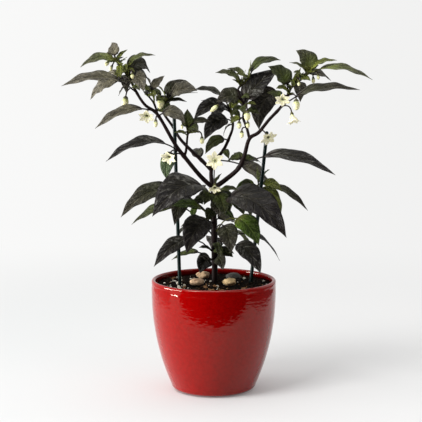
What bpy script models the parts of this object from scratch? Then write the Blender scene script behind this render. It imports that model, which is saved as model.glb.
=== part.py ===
"""Potted chilli pepper plant: a young purple-leaved chilli in a red glazed pot.

Blender 4.5, metres, +Z up. The origin is on the ground under the middle of the pot,
and the front of the plant faces -Y. Every stem is a list of points that it grows
through, and every leaf is a row of growth values, so the plant is built by two
functions, stem_tube and leaf_solid, and joined stem by stem.
"""
import math
import random

import bmesh
import bpy
from mathutils import Matrix, Vector, noise

# ---- driving dimensions (metres) ------------------------------------------------
GAP = 0.0003              # clearance left between neighbouring pieces
POT_RADIUS = 0.0751       # widest outside radius, just below the lip
POT_HEIGHT = 0.135
POT_WALL = 0.0050
POT_FLOOR = 0.010
POT_BELLY_Z = 0.125       # height where the wall is widest
POT_FOOT_RADIUS = 0.0385  # flat face that the pot stands on
POT_FOOT_ROUND = 0.0065   # height of the rounding above the foot
POT_SEGMENTS = 32
POT_RINGS = 6             # rings of points up the outside of the wall
LIP_ANGLES = (50, 90, 130, 180)  # degrees round the lip, from its outside to its inside
INNER_WALL_HEIGHTS = (POT_FLOOR, 0.035, 0.080, 0.112)
TAPER_DEPTH = 0.355       # how far the wall draws in at the foot, as a share of the radius
TAPER_POWER = 2.2

SOIL_Z = 0.1275           # soil level at the wall
SOIL_MOUND = 0.0025       # extra height round the trunk
SOIL_MOUND_RADIUS = 0.035
SOIL_ROUGHNESS = 0.0011
SOIL_LUMPS = (70.0, 160.0)     # coarse and fine lumps to a metre
SOIL_RINGS = 4
GRAIN_COUNT = 10          # coarse perlite and bark grains that stand out of the soil
GRAIN_SIZES = (0.0016, 0.0026)
GRAIN_CLEARANCE = 0.016   # from the middle of what else stands in or lies on the soil
PEBBLE_FLAT = 0.80        # share of its half height where a pebble is worn flat below
PEBBLE_LIFT = 0.0007      # gap under a pebble's flat spot
PEBBLE_DENTS = 0.10       # how far a pebble's surface strays from an egg, as a share

STAKE_RADIUS = 0.0022
STAKE_SIDES = 8
STAKE_DEPTH = 0.062       # length of a stake inside the soil
STAKE_TIP = 0.0020        # length of its rounded top
HOLE_SIDES = 12
HOLE_TOP_Z = 0.150        # the cutters of the holes in the soil end well above it

BLADE_HALF_THICKNESS = 0.0004
WIDE_BLADE = 0.034        # blades from this width on get two more columns of points
BLADE_FOOT_POWER = 0.55   # outline of a blade: how fast it widens from its foot
BLADE_TIP_POWER = 1.15    # and how slowly it narrows to its drawn-out tip
STALK_HALF_WIDTH = 0.0009
STALK_HALF_HEIGHT = 0.0008
WAVE_HEIGHT = 0.045       # height of the margin's waves, as a share of the blade's width
WAVE_COUNTS = (2.0, 3.0)  # fewest and most waves along a margin
WAVE_SHIFT = 1.3          # how far one margin's waves run ahead of the other's, in radians
MIDRIB_STEPS = 40
BEND_POWER = 1.6          # above 1, a leaf bends most where its blade begins
STRAIGHT_STALK = 0.4      # share of the stalk that doesn't bend
SHORT_LEAF = 0.040        # leaves under these lengths get 3 and 4 rows of faces, others 5
MIDDLING_LEAF = 0.080
LONG_STALK = 0.030        # a stalk from this length on gets a ring of points half way
FOLD = 0.22               # how steeply the two halves rise from the midrib
STEM_SIDES = 6
STEM_STEP = 0.014         # length of one straight stretch of stem
TRUNK_STEP = 0.030        # and of the straighter trunk
NEARLY_UPRIGHT = 0.05     # level part of a unit vector that counts as upright
STUB = 0.008              # length of a side stem that stays with its parent stem

FLOWER_STALK_RADIUS = 0.00065
BLOOM_CUP = (0.0030, 0.0015)   # length and radius of the calyx behind a bloom
BUD_CUP_LENGTH = 0.0022
BUD_CUP_SHARE = 0.66      # radius of the calyx as a share of the bud's
BUD_SHAPE = ((0.0, 0.62), (0.28, 0.98), (0.75, 0.80), (1.0, 0.20))

PETALS = 6
PETAL_THICKNESS = 0.0007
PETAL_OUTLINE = ((0.0, 0.34), (0.22, 0.66), (0.5, 1.0), (0.78, 0.66))
BLOOM_TUBE_RADIUS = 0.0021
BLOOM_TUBE_LENGTH = 0.0022
BLOOM_FOOT_RADIUS = 0.0014
ANTHER_RADII = (0.0012, 0.0008)
ANTHER_HEIGHT = 0.0030    # how far the cone of anthers stands out of the tube's mouth
ANTHER_DEPTH = 0.0004     # and how far inside the mouth it begins

SHARP_EDGE = 40           # degrees; flatter edges are shaded smooth
SEED = 7

# ---- colours: base colour and roughness ------------------------------------------
FINISHES = {
    "glaze_red": ((0.42, 0.005, 0.006), 0.12),
    "soil": ((0.022, 0.016, 0.012), 0.95),
    "pebble_tan": ((0.42, 0.29, 0.17), 0.55),
    "pebble_grey": ((0.10, 0.10, 0.09), 0.55),
    "stake_green": ((0.006, 0.045, 0.035), 0.45),
    "leaf_purple": ((0.035, 0.025, 0.034), 0.42),
    "petal_cream": ((0.80, 0.77, 0.55), 0.55),
}

# ---- stems ------------------------------------------------------------------------
# name: (parent, radius at the foot, radius at the tip, points from foot to tip)
STEMS = {
    "trunk": (None, 0.0036, 0.0033, [
        (0.001, 0.008, 0.105), (0.001, 0.008, 0.130), (0.001, 0.006, 0.169),
        (0.000, 0.003, 0.209), (0.000, 0.000, 0.247)]),
    "left_limb": ("trunk", 0.0028, 0.0012, [
        (-0.001, 0.000, 0.246), (-0.016, -0.006, 0.261), (-0.035, -0.012, 0.285),
        (-0.047, -0.015, 0.302), (-0.066, -0.018, 0.335), (-0.081, -0.020, 0.347),
        (-0.092, -0.020, 0.364), (-0.102, -0.018, 0.385), (-0.111, -0.018, 0.394),
        (-0.116, -0.018, 0.401)]),
    "centre_limb": ("trunk", 0.0026, 0.0012, [
        (-0.002, 0.003, 0.246), (-0.003, 0.010, 0.266), (0.003, 0.014, 0.279),
        (0.012, 0.018, 0.290), (0.020, 0.024, 0.307), (0.023, 0.026, 0.317),
        (0.022, 0.026, 0.329), (0.019, 0.025, 0.338)]),
    "right_limb": ("trunk", 0.0030, 0.0012, [
        (0.001, 0.000, 0.246), (0.015, -0.006, 0.257), (0.029, -0.011, 0.270),
        (0.036, -0.014, 0.285), (0.042, -0.016, 0.306), (0.053, -0.018, 0.314),
        (0.065, -0.020, 0.329), (0.078, -0.020, 0.343), (0.086, -0.020, 0.356),
        (0.091, -0.019, 0.367), (0.101, -0.018, 0.375), (0.110, -0.018, 0.383)]),
    "left_inner_limb": ("centre_limb", 0.0024, 0.0012, [
        (-0.003, 0.010, 0.266), (-0.013, 0.012, 0.276), (-0.030, 0.014, 0.292),
        (-0.041, 0.015, 0.304), (-0.050, 0.016, 0.319), (-0.060, 0.014, 0.334),
        (-0.060, 0.012, 0.343), (-0.055, 0.010, 0.352)]),
    "left_twig": ("left_limb", 0.0017, 0.0010, [
        (-0.035, -0.012, 0.285), (-0.033, -0.013, 0.291), (-0.032, -0.014, 0.300),
        (-0.031, -0.014, 0.310), (-0.029, -0.014, 0.320)]),
    "left_side_twig": ("left_limb", 0.0014, 0.0009, [
        (-0.066, -0.018, 0.335), (-0.070, -0.015, 0.347), (-0.075, -0.013, 0.354),
        (-0.080, -0.012, 0.359)]),
    "right_twig": ("right_limb", 0.0018, 0.0010, [
        (0.042, -0.016, 0.307), (0.039, -0.012, 0.319), (0.035, -0.008, 0.330),
        (0.036, -0.006, 0.341), (0.032, -0.004, 0.354), (0.029, -0.002, 0.364),
        (0.037, 0.000, 0.372), (0.044, 0.000, 0.378)]),
    "right_low_shoot": ("trunk", 0.0015, 0.0010, [
        (0.001, 0.006, 0.212), (0.020, 0.014, 0.226), (0.042, 0.019, 0.238),
        (0.057, 0.021, 0.249)]),
    "left_low_shoot": ("trunk", 0.0015, 0.0010, [
        (0.000, 0.006, 0.204), (-0.013, 0.010, 0.219), (-0.026, 0.010, 0.230),
        (-0.037, 0.006, 0.238)]),
}

# ---- leaves -----------------------------------------------------------------------
# Where it grows: share of the stem's length. How it grows: heading in degrees
# (0 = +X, 90 = +Y), rise at its foot and droop over its length in degrees, length,
# width, turn about the midrib (positive shows the upper face to the front) and share
# of the length that is stalk.
LEAVES = {
    "trunk": [
        (0.91, -50, 45, 50, 0.050, 0.012, 30, 0.15),
        (0.99, -25, 75, 25, 0.021, 0.010, 40, 0.15),
        (0.63, -165, 50, 75, 0.046, 0.015, 40, 0.20),
        (0.93, -115, 20, 65, 0.031, 0.014, 30, 0.20),
        (0.95, -60, 0, 75, 0.040, 0.021, 25, 0.20),
        (0.91, -145, 40, 60, 0.025, 0.013, 35, 0.20),
        (0.86, -45, 35, 90, 0.034, 0.016, 30, 0.20),
        (0.42, -140, 50, 50, 0.028, 0.008, 30, 0.30),
        (0.91, -130, 40, 80, 0.123, 0.044, 24, 0.20),
        (0.83, -40, 35, 85, 0.128, 0.043, 30, 0.20),
        (0.59, -42, 50, 110, 0.092, 0.027, 30, 0.50),
        (0.68, -120, 25, 85, 0.079, 0.033, 25, 0.25),
        (0.42, -140, 40, 85, 0.108, 0.021, 30, 0.45),
        (0.61, -65, 40, 120, 0.069, 0.024, 22, 0.45),
        (0.37, -35, 50, 115, 0.089, 0.025, 30, 0.45),
        (0.34, -135, 50, 130, 0.036, 0.020, 50, 0.30),
        (0.34, -65, 60, 130, 0.034, 0.016, 45, 0.30),
        (0.40, -30, 60, 90, 0.032, 0.009, 35, 0.30),
        (0.47, -80, 50, 105, 0.038, 0.010, 10, 0.30),
        (0.34, 165, 40, 75, 0.061, 0.011, 30, 0.40),
        (0.44, 20, 40, 100, 0.107, 0.015, 20, 0.45),
        (0.56, 160, 50, 90, 0.129, 0.019, 38, 0.50),
        (0.68, -145, 55, 60, 0.071, 0.017, 40, 0.40),
        (0.70, 45, 25, 60, 0.041, 0.015, 40, 0.20),
        (0.90, 125, 30, 90, 0.085, 0.027, 10, 0.30),
        (0.86, 70, 30, 90, 0.070, 0.024, 10, 0.30),
        (0.62, 150, 30, 90, 0.070, 0.023, 10, 0.30),
        (0.56, 40, 30, 90, 0.070, 0.023, 10, 0.30),
        (0.46, 90, 35, 95, 0.066, 0.022, 10, 0.35),
    ],
    "left_limb": [
        (1.00, 115, 90, 45, 0.021, 0.020, 62, 0.15),
        (0.94, -165, 45, 80, 0.054, 0.019, 30, 0.20),
        (0.75, -160, 40, 60, 0.098, 0.025, 20, 0.24),
        (0.84, 160, 12, 65, 0.062, 0.028, 45, 0.20),
        (0.98, 10, 70, 40, 0.019, 0.007, 30, 0.10),
        (0.95, -25, 65, 35, 0.014, 0.005, 30, 0.10),
        (0.95, -85, -5, 65, 0.023, 0.009, 10, 0.10),
        (0.92, -120, 10, 80, 0.020, 0.008, 20, 0.10),
        (0.83, 140, -20, 35, 0.028, 0.012, 30, 0.15),
        (0.88, -5, 85, 90, 0.045, 0.015, 25, 0.20),
        (0.89, -15, 85, 25, 0.018, 0.006, 40, 0.10),
        (0.86, 50, 85, 135, 0.050, 0.020, 60, 0.15),
        (0.83, 55, 50, 115, 0.053, 0.018, 40, 0.15),
        (0.82, -55, 60, 135, 0.037, 0.018, 45, 0.15),
        (0.60, -155, 15, 50, 0.080, 0.022, 20, 0.20),
        (0.56, -20, 40, 90, 0.039, 0.020, 35, 0.15),
        (0.27, -160, 40, 75, 0.107, 0.026, 18, 0.27),
        (0.28, -140, 20, 125, 0.050, 0.017, 50, 0.30),
        (0.85, 100, 20, 80, 0.050, 0.019, 10, 0.20),
    ],
    "left_inner_limb": [
        (0.98, 25, 80, 65, 0.037, 0.017, 40, 0.15),
        (1.00, -25, 50, 60, 0.043, 0.026, 38, 0.15),
        (0.93, -10, 45, 45, 0.044, 0.012, 0, 0.15),
        (0.91, -25, 45, 60, 0.033, 0.009, 30, 0.15),
        (0.88, -5, 60, 120, 0.014, 0.008, 40, 0.15),
        (0.93, 145, 60, 55, 0.044, 0.011, 15, 0.25),
        (0.97, -145, 80, 50, 0.028, 0.008, 30, 0.20),
        (0.15, 110, 40, 40, 0.036, 0.015, 30, 0.15),
        (0.97, 95, 30, 90, 0.052, 0.022, 10, 0.20),
    ],
    "left_twig": [
        (0.82, 100, 78, 0, 0.028, 0.015, 10, 0.20),
        (1.00, 15, 50, 70, 0.030, 0.012, 30, 0.20),
        (0.79, -140, 75, 25, 0.019, 0.006, 40, 0.15),
    ],
    "centre_limb": [
        (1.00, -150, 65, 65, 0.059, 0.020, 25, 0.20),
        (0.97, -170, 55, 60, 0.041, 0.009, 15, 0.20),
        (0.97, -140, 40, 80, 0.064, 0.021, 35, 0.20),
        (0.85, -140, 25, 85, 0.055, 0.023, 40, 0.18),
        (0.82, 145, -10, 65, 0.022, 0.009, 30, 0.20),
        (0.95, -150, 40, 75, 0.032, 0.013, 20, 0.20),
        (0.99, 25, 70, 65, 0.015, 0.009, 40, 0.15),
        (0.94, -30, 40, 105, 0.015, 0.010, 30, 0.15),
        (0.62, -155, 20, 80, 0.038, 0.016, 40, 0.15),
        (0.49, -65, 0, 55, 0.019, 0.008, 40, 0.15),
        (0.34, 30, -8, 30, 0.088, 0.030, 45, 0.40),
        (0.97, 115, 30, 90, 0.055, 0.021, 10, 0.20),
    ],
    "right_limb": [
        (1.00, 165, 115, 90, 0.035, 0.024, 50, 0.15),
        (0.99, 170, 75, 70, 0.027, 0.009, 20, 0.20),
        (1.00, -10, 60, 60, 0.040, 0.015, 25, 0.15),
        (1.00, -15, 24, 50, 0.080, 0.021, 18, 0.20),
        (0.98, 35, 25, 60, 0.042, 0.014, 40, 0.15),
        (0.68, -20, 42, 48, 0.108, 0.025, 24, 0.27),
        (0.84, 15, 55, -15, 0.030, 0.010, 30, 0.20),
        (0.80, -175, 95, 70, 0.046, 0.027, 45, 0.30),
        (0.87, 65, 20, 55, 0.027, 0.011, 40, 0.15),
        (0.80, 145, 20, 115, 0.072, 0.030, -50, 0.20),
        (0.22, -20, 30, 58, 0.126, 0.026, 22, 0.28),
        (0.27, 150, 45, 85, 0.024, 0.013, 35, 0.15),
        (0.28, 125, 35, 25, 0.020, 0.010, 40, 0.15),
        (0.26, 35, 35, 65, 0.030, 0.013, 35, 0.15),
        (0.91, 80, 5, 70, 0.048, 0.018, 10, 0.20),
    ],
    "left_side_twig": [
        (0.90, 10, 60, 20, 0.031, 0.013, 40, 0.30),
        (0.96, -135, 80, 60, 0.017, 0.010, 40, 0.15),
        (0.99, -15, 60, 95, 0.016, 0.009, 30, 0.15),
        (0.43, -155, 85, 25, 0.021, 0.008, 40, 0.20),
    ],
    "right_twig": [
        (0.98, -10, 80, 85, 0.048, 0.020, 28, 0.15),
        (0.90, -30, 55, -35, 0.027, 0.009, 40, 0.20),
        (0.89, 170, 80, 80, 0.030, 0.012, 28, 0.30),
        (0.80, -170, 75, 80, 0.038, 0.017, 26, 0.15),
        (0.84, -45, 75, 0, 0.018, 0.006, 40, 0.15),
        (0.51, 5, 65, 35, 0.060, 0.029, 58, 0.12),
        (0.56, -165, 45, 80, 0.035, 0.024, 50, 0.15),
        (0.46, -45, 55, 70, 0.022, 0.008, 30, 0.15),
        (0.51, -155, 45, 70, 0.021, 0.009, 35, 0.15),
        (0.43, -160, 45, 105, 0.020, 0.009, 35, 0.15),
        (0.62, 85, 30, 90, 0.058, 0.022, 10, 0.20),
        (0.96, 70, 30, 80, 0.042, 0.015, 10, 0.20),
    ],
    "right_low_shoot": [
        (0.97, -15, 0, 48, 0.070, 0.013, 25, 0.25),
        (0.91, -20, -10, 65, 0.050, 0.018, 30, 0.15),
        (0.88, -150, 50, 65, 0.023, 0.013, 35, 0.15),
        (0.95, -110, 65, -20, 0.024, 0.013, 50, 0.15),
        (0.97, -30, 25, 65, 0.034, 0.014, 35, 0.15),
        (0.61, -100, 10, 70, 0.028, 0.012, 30, 0.15),
        (0.54, -60, 15, 90, 0.040, 0.014, 30, 0.20),
        (0.40, -60, 20, 80, 0.034, 0.016, 25, 0.20),
    ],
    "left_low_shoot": [
        (0.97, -165, 25, 75, 0.090, 0.027, 40, 0.20),
        (0.81, -115, 10, 80, 0.055, 0.020, 35, 0.25),
        (0.48, -175, -10, 100, 0.021, 0.010, 40, 0.20),
        (0.80, 110, 15, 80, 0.050, 0.018, 10, 0.20),
    ],
}

# ---- blooms and buds ----------------------------------------------------------------
# Where the stalk grows (stem, share), the point where the calyx ends (x, y, z), and the
# heading and rise of the axis that points out of the mouth. Then a bloom has its reach from
# the axis to a petal's tip and the angle that its petals open to, and a bud its radius and length.
BLOOMS = [
    ("bloom_left_outer", "left_limb", 0.60, (-0.078, -0.031, 0.337), -95, -40, 0.0115, 66),
    ("bloom_left_low", "left_limb", 0.28, (-0.052, -0.036, 0.289), -105, -32, 0.0112, 66),
    ("bloom_centre", "trunk", 0.99, (0.001, -0.010, 0.280), -90, 2, 0.0118, 84),
    ("bloom_fork", "trunk", 0.99, (0.001, -0.018, 0.251), -90, -50, 0.0100, 58),
    ("bloom_right_upper", "right_limb", 0.79, (0.080, -0.034, 0.356), -92, -35, 0.0105, 72),
    ("bloom_right_bell", "right_limb", 0.72, (0.091, -0.036, 0.337), -60, -70, 0.0130, 36),
    ("bloom_right_low", "right_limb", 0.51, (0.062, -0.036, 0.312), -60, -38, 0.0118, 70),
]
BUDS = [
    ("left_limb", 0.79, (-0.104, -0.010, 0.354), -170, -84, 0.0040, 0.0120),
    ("left_inner_limb", 0.94, (-0.063, 0.002, 0.351), -150, -86, 0.0042, 0.0105),
    ("left_limb", 0.56, (-0.068, -0.027, 0.328), -120, -85, 0.0026, 0.0068),
    ("left_limb", 0.86, (-0.095, -0.031, 0.383), -60, -80, 0.0022, 0.0050),
    ("left_twig", 0.85, (-0.014, -0.016, 0.307), -60, -86, 0.0027, 0.0066),
    ("left_twig", 0.79, (-0.037, -0.024, 0.323), -150, -80, 0.0016, 0.0042),
    ("left_limb", 0.99, (-0.124, -0.012, 0.397), -170, -55, 0.0024, 0.0058),
    ("left_limb", 0.98, (-0.120, -0.010, 0.391), -160, -65, 0.0020, 0.0050),
    ("right_limb", 0.80, (0.096, -0.033, 0.352), -60, -86, 0.0041, 0.0105),
    ("right_limb", 0.89, (0.099, -0.028, 0.374), -60, -80, 0.0018, 0.0048),
    ("right_limb", 0.99, (0.117, -0.012, 0.377), -60, -84, 0.0022, 0.0056),
    ("right_limb", 1.00, (0.122, -0.022, 0.381), -45, -80, 0.0018, 0.0045),
    ("right_twig", 0.43, (0.039, -0.030, 0.338), -70, -86, 0.0039, 0.0088),
    ("right_twig", 0.31, (0.030, -0.016, 0.325), -120, -86, 0.0029, 0.0066),
    ("right_twig", 0.28, (0.040, -0.020, 0.325), -60, -86, 0.0024, 0.0054),
    ("right_twig", 0.16, (0.033, -0.018, 0.314), -120, -86, 0.0026, 0.0062),
    ("centre_limb", 0.99, (0.004, -0.012, 0.345), -165, -40, 0.0026, 0.0105),
]

# Pebbles: middle (x, y), half sizes, turn in degrees, finish.
PEBBLES = [
    (-0.0126, 0.0270, (0.0088, 0.0074, 0.0056), 20, "pebble_tan"),
    (-0.0206, -0.0150, (0.0088, 0.0072, 0.0050), -10, "pebble_tan"),
    (0.0188, -0.0180, (0.0082, 0.0070, 0.0054), 12, "pebble_tan"),
    (0.0250, 0.0210, (0.0096, 0.0076, 0.0052), -15, "pebble_grey"),
]

# Stakes: point at soil level and top, both (x, y, z).
STAKES = {
    "stake_left": ((-0.0410, 0.0000, 0.1275), (-0.0475, 0.0000, 0.3440)),
    "stake_right": ((0.0450, 0.0130, 0.1275), (0.0636, 0.0050, 0.3135)),
}


# ---- small helpers ------------------------------------------------------------------
def clear_scene():
    for existing in list(bpy.data.objects):
        bpy.data.objects.remove(existing, do_unlink=True)


def finish_material(name):
    material = bpy.data.materials.get(name)
    if material is None:
        colour, roughness = FINISHES[name]
        material = bpy.data.materials.new(name)
        material.use_nodes = True
        shader = material.node_tree.nodes["Principled BSDF"]
        shader.inputs["Base Color"].default_value = (*colour, 1.0)
        shader.inputs["Roughness"].default_value = roughness
    return material


def new_object(name, verts, faces, finish):
    mesh = bpy.data.meshes.new(name)
    mesh.from_pydata([tuple(v) for v in verts], [], faces)
    mesh.update()
    obj = bpy.data.objects.new(name, mesh)
    bpy.context.scene.collection.objects.link(obj)
    mesh.materials.append(finish_material(finish))
    return obj


def direction(heading, rise):
    """Unit vector for a compass heading and a rise above the horizon, in degrees."""
    level = math.cos(math.radians(rise))
    return Vector((level * math.cos(math.radians(heading)),
                   level * math.sin(math.radians(heading)),
                   math.sin(math.radians(rise))))


def smoothstep(low, high, value):
    t = min(max((value - low) / (high - low), 0.0), 1.0)
    return t * t * (3.0 - 2.0 * t)


def bake_modifiers(obj):
    """Replace an object's mesh by what its modifiers make of it."""
    graph = bpy.context.evaluated_depsgraph_get()
    mesh = bpy.data.meshes.new_from_object(obj.evaluated_get(graph))
    obj.modifiers.clear()
    obj.data = mesh


def boolean(obj, operation, others):
    """Join or cut an object with several closed meshes in one step."""
    group = bpy.data.collections.new(obj.name + "_others")
    bpy.context.scene.collection.children.link(group)
    for other in others:
        bpy.context.scene.collection.objects.unlink(other)
        group.objects.link(other)
    modifier = obj.modifiers.new("boolean", "BOOLEAN")
    modifier.operation = operation
    modifier.operand_type = "COLLECTION"
    modifier.collection = group
    modifier.solver = "MANIFOLD"
    bake_modifiers(obj)
    for other in others:
        bpy.data.objects.remove(other, do_unlink=True)
    bpy.data.collections.remove(group)


# ---- rings of points joined into closed solids ----------------------------------------
def lofted(name, rings, finish):
    """Closed solid through rings with the same number of points each."""
    count = len(rings[0])
    verts = [point for ring in rings for point in ring]
    faces = [tuple(reversed(range(count)))]
    for row in range(len(rings) - 1):
        for k in range(count):
            a = row * count + k
            b = row * count + (k + 1) % count
            faces.append((a, b, b + count, a + count))
    last = (len(rings) - 1) * count
    faces.append(tuple(range(last, last + count)))
    return new_object(name, verts, faces, finish)


def turned(name, profile, segments, finish):
    """Closed solid of revolution; the profile starts and ends on the axis."""
    rings = []
    for radius, height in profile[1:-1]:
        ring = []
        for k in range(segments):
            angle = 2.0 * math.pi * k / segments
            ring.append((radius * math.cos(angle), radius * math.sin(angle), height))
        rings.append(ring)
    return lofted(name, rings, finish)


def frame_along(axis):
    """Two unit vectors square to an axis, the first of them level."""
    axis = axis.normalized()
    side = axis.cross(Vector((0.0, 0.0, 1.0)))
    if side.length < NEARLY_UPRIGHT:
        side = Vector((1.0, 0.0, 0.0))
    side.normalize()
    return side, side.cross(axis)


# ---- stems ------------------------------------------------------------------------------
class Path:
    """Smooth curve through a list of points, read by distance from its foot."""

    FINE_STEPS = 12

    def __init__(self, points):
        points = [Vector(p) for p in points]
        self.points = []
        for i in range(len(points) - 1):
            before = points[max(i - 1, 0)]
            after = points[min(i + 2, len(points) - 1)]
            for k in range(self.FINE_STEPS):
                t = k / self.FINE_STEPS
                self.points.append(self.spline(before, points[i], points[i + 1], after, t))
        self.points.append(points[-1])
        self.reach = [0.0]
        for a, b in zip(self.points, self.points[1:]):
            self.reach.append(self.reach[-1] + (b - a).length)
        self.length = self.reach[-1]

    @staticmethod
    def spline(p0, p1, p2, p3, t):
        return 0.5 * (2.0 * p1 + (p2 - p0) * t
                      + (2.0 * p0 - 5.0 * p1 + 4.0 * p2 - p3) * t * t
                      + (3.0 * p1 - p0 - 3.0 * p2 + p3) * t ** 3)

    def at(self, distance):
        distance = min(max(distance, 0.0), self.length)
        i = 0
        while i < len(self.reach) - 2 and self.reach[i + 1] < distance:
            i += 1
        span = self.reach[i + 1] - self.reach[i]
        return self.points[i].lerp(self.points[i + 1], (distance - self.reach[i]) / span)

    def tangent(self, distance):
        step = 0.0006
        ahead = self.at(min(distance + step, self.length))
        behind = self.at(max(distance - step, 0.0))
        return (ahead - behind).normalized()


def stem_tube(name, path, start, end, radius_start, radius_end, step, sides=STEM_SIDES):
    """Round stem along part of a path, with flat ends square to it."""
    count = max(1, round((end - start) / step))
    rings = []
    side = None
    for i in range(count + 1):
        share = i / count
        distance = start + (end - start) * share
        tangent = path.tangent(distance)
        if side is None:
            side, _ = frame_along(tangent)
        side = (side - tangent * side.dot(tangent)).normalized()
        up = side.cross(tangent)
        radius = radius_start + (radius_end - radius_start) * share
        centre = path.at(distance)
        ring = []
        for k in range(sides):
            angle = -2.0 * math.pi * k / sides
            ring.append(centre + radius * (math.cos(angle) * side + math.sin(angle) * up))
        rings.append(ring)
    return lofted(name, rings, "leaf_purple")


PATHS = {name: Path(stem[3]) for name, stem in STEMS.items()}


def stem_radius(name, distance):
    _, foot, tip, _ = STEMS[name]
    return foot + (tip - foot) * distance / PATHS[name].length


def growing_tip(name):
    """Small swelling at the end of a stem, where its youngest leaves meet."""
    path = PATHS[name]
    radius = 1.5 * STEMS[name][2]
    ball = bmesh.new()
    bmesh.ops.create_icosphere(ball, subdivisions=1, radius=radius)
    bmesh.ops.translate(ball, verts=ball.verts, vec=path.at(path.length))
    mesh = bpy.data.meshes.new(name + "_tip")
    ball.to_mesh(mesh)
    ball.free()
    tip = bpy.data.objects.new(name + "_tip", mesh)
    bpy.context.scene.collection.objects.link(tip)
    return tip


# ---- leaves -------------------------------------------------------------------------------
def blade_half_width(u, width):
    """Half width of the blade at share u from its foot to its long drawn-out tip."""
    if u <= 0.0:
        return STALK_HALF_WIDTH
    widest = BLADE_FOOT_POWER / (BLADE_FOOT_POWER + BLADE_TIP_POWER)
    peak = widest ** BLADE_FOOT_POWER * (1.0 - widest) ** BLADE_TIP_POWER
    full = 0.5 * width * u ** BLADE_FOOT_POWER * max(1.0 - u, 0.0) ** BLADE_TIP_POWER / peak
    return max(full, STALK_HALF_WIDTH * (1.0 - 0.5 * u))


def midrib(length, rise, droop, stalk):
    """Reach, height and pitch along the midrib, which bends most where the blade begins."""
    reach, height = 0.0, 0.0
    straight = STRAIGHT_STALK * stalk
    line = []
    for k in range(MIDRIB_STEPS + 1):
        share = max((k - 0.5) / MIDRIB_STEPS - straight, 0.0) / (1.0 - straight)
        pitch = math.radians(rise - droop * (1.0 - (1.0 - share) ** BEND_POWER))
        if k > 0:
            reach += length / MIDRIB_STEPS * math.cos(pitch)
            height += length / MIDRIB_STEPS * math.sin(pitch)
        line.append((reach, height, pitch))
    return line


def read_line(line, share):
    """Values at a share of a list of evenly spaced rows."""
    place = share * (len(line) - 1)
    i = min(int(place), len(line) - 2)
    part = place - i
    return [a + (b - a) * part for a, b in zip(line[i], line[i + 1])]


def leaf_stations(length, stalk):
    """Shares of the length where the leaf has a ring of points."""
    blade_steps = 3 if length < SHORT_LEAF else 4 if length < MIDDLING_LEAF else 5
    shares = [0.0, stalk] if length * stalk < LONG_STALK else [0.0, 0.5 * stalk, stalk]
    for k in range(1, blade_steps + 1):
        u = (k / blade_steps) ** 1.05
        shares.append(stalk + (1.0 - stalk) * u)
    return shares


def leaf_solid(name, root, row, rng):
    """One leaf: a six-cornered stalk that widens into a folded, waved blade."""
    _, heading, rise, droop, length, width, turn, stalk = row
    columns = (-1.0, 0.0, 1.0) if width < WIDE_BLADE else (-1.0, -0.5, 0.0, 0.5, 1.0)
    ahead = direction(heading, 0.0)
    left = Vector((-ahead.y, ahead.x, 0.0))
    roll = math.radians(turn) * (1.0 if ahead.x >= 0.0 else -1.0)
    phase = rng.uniform(0.0, 2.0 * math.pi)
    waves = rng.uniform(*WAVE_COUNTS)
    line = midrib(length, rise, droop, stalk)
    rings = []
    for share in leaf_stations(length, stalk):
        reach, height, pitch = read_line(line, share)
        spot = root + ahead * reach + Vector((0.0, 0.0, height))
        along = ahead * math.cos(pitch) + Vector((0.0, 0.0, math.sin(pitch)))
        face = along.cross(left)
        turned_left = left * math.cos(roll) + face * math.sin(roll)
        turned_face = face * math.cos(roll) - left * math.sin(roll)
        u = (share - stalk) / (1.0 - stalk)
        half = blade_half_width(u, width)
        thinner = (STALK_HALF_HEIGHT - BLADE_HALF_THICKNESS) * smoothstep(0.0, 0.6, u)
        middle = STALK_HALF_HEIGHT - thinner
        upper, lower = [], []
        for v in columns:
            lift = FOLD * abs(v) * (half - STALK_HALF_WIDTH)
            if 0.0 < u < 1.0:
                ripple = math.sin(2.0 * math.pi * waves * u + phase + (WAVE_SHIFT if v > 0 else 0.0))
                lift += WAVE_HEIGHT * width * ripple * v * v * math.sin(math.pi * u)
            thick = middle + (BLADE_HALF_THICKNESS - middle) * abs(v)
            point = spot + turned_left * (v * half) + turned_face * lift
            upper.append(point + turned_face * thick)
            lower.append(point - turned_face * thick)
        rings.append((upper, lower))
    return blade_mesh(name, rings)


def blade_mesh(name, rings):
    """Closed blade from rings of (upper, lower) points, both faces split alike."""
    wide = len(rings[0][0])
    verts = []
    for upper, lower in rings:
        verts.extend(upper + lower)
    faces = []
    for row in range(len(rings) - 1):
        a = row * 2 * wide
        b = a + 2 * wide
        for j in range(wide - 1):
            near, far = (j, j + 1) if j < wide // 2 else (j + 1, j)
            triangles = [(a + near, a + far, b + far), (a + near, b + far, b + near)]
            if j < wide // 2:
                triangles = [tuple(reversed(t)) for t in triangles]
            faces.extend(triangles)
            faces.extend(tuple(i + wide for i in reversed(t)) for t in triangles)
        faces.append((a, a + wide, b + wide, b))
        edge = wide - 1
        faces.append((a + edge, b + edge, b + edge + wide, a + edge + wide))
    last = (len(rings) - 1) * 2 * wide
    for j in range(wide - 1):
        faces.append((j, j + 1, j + 1 + wide, j + wide))
        faces.append((last + j, last + j + wide, last + j + 1 + wide, last + j + 1))
    return new_object(name, verts, faces, "leaf_purple")


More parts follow.
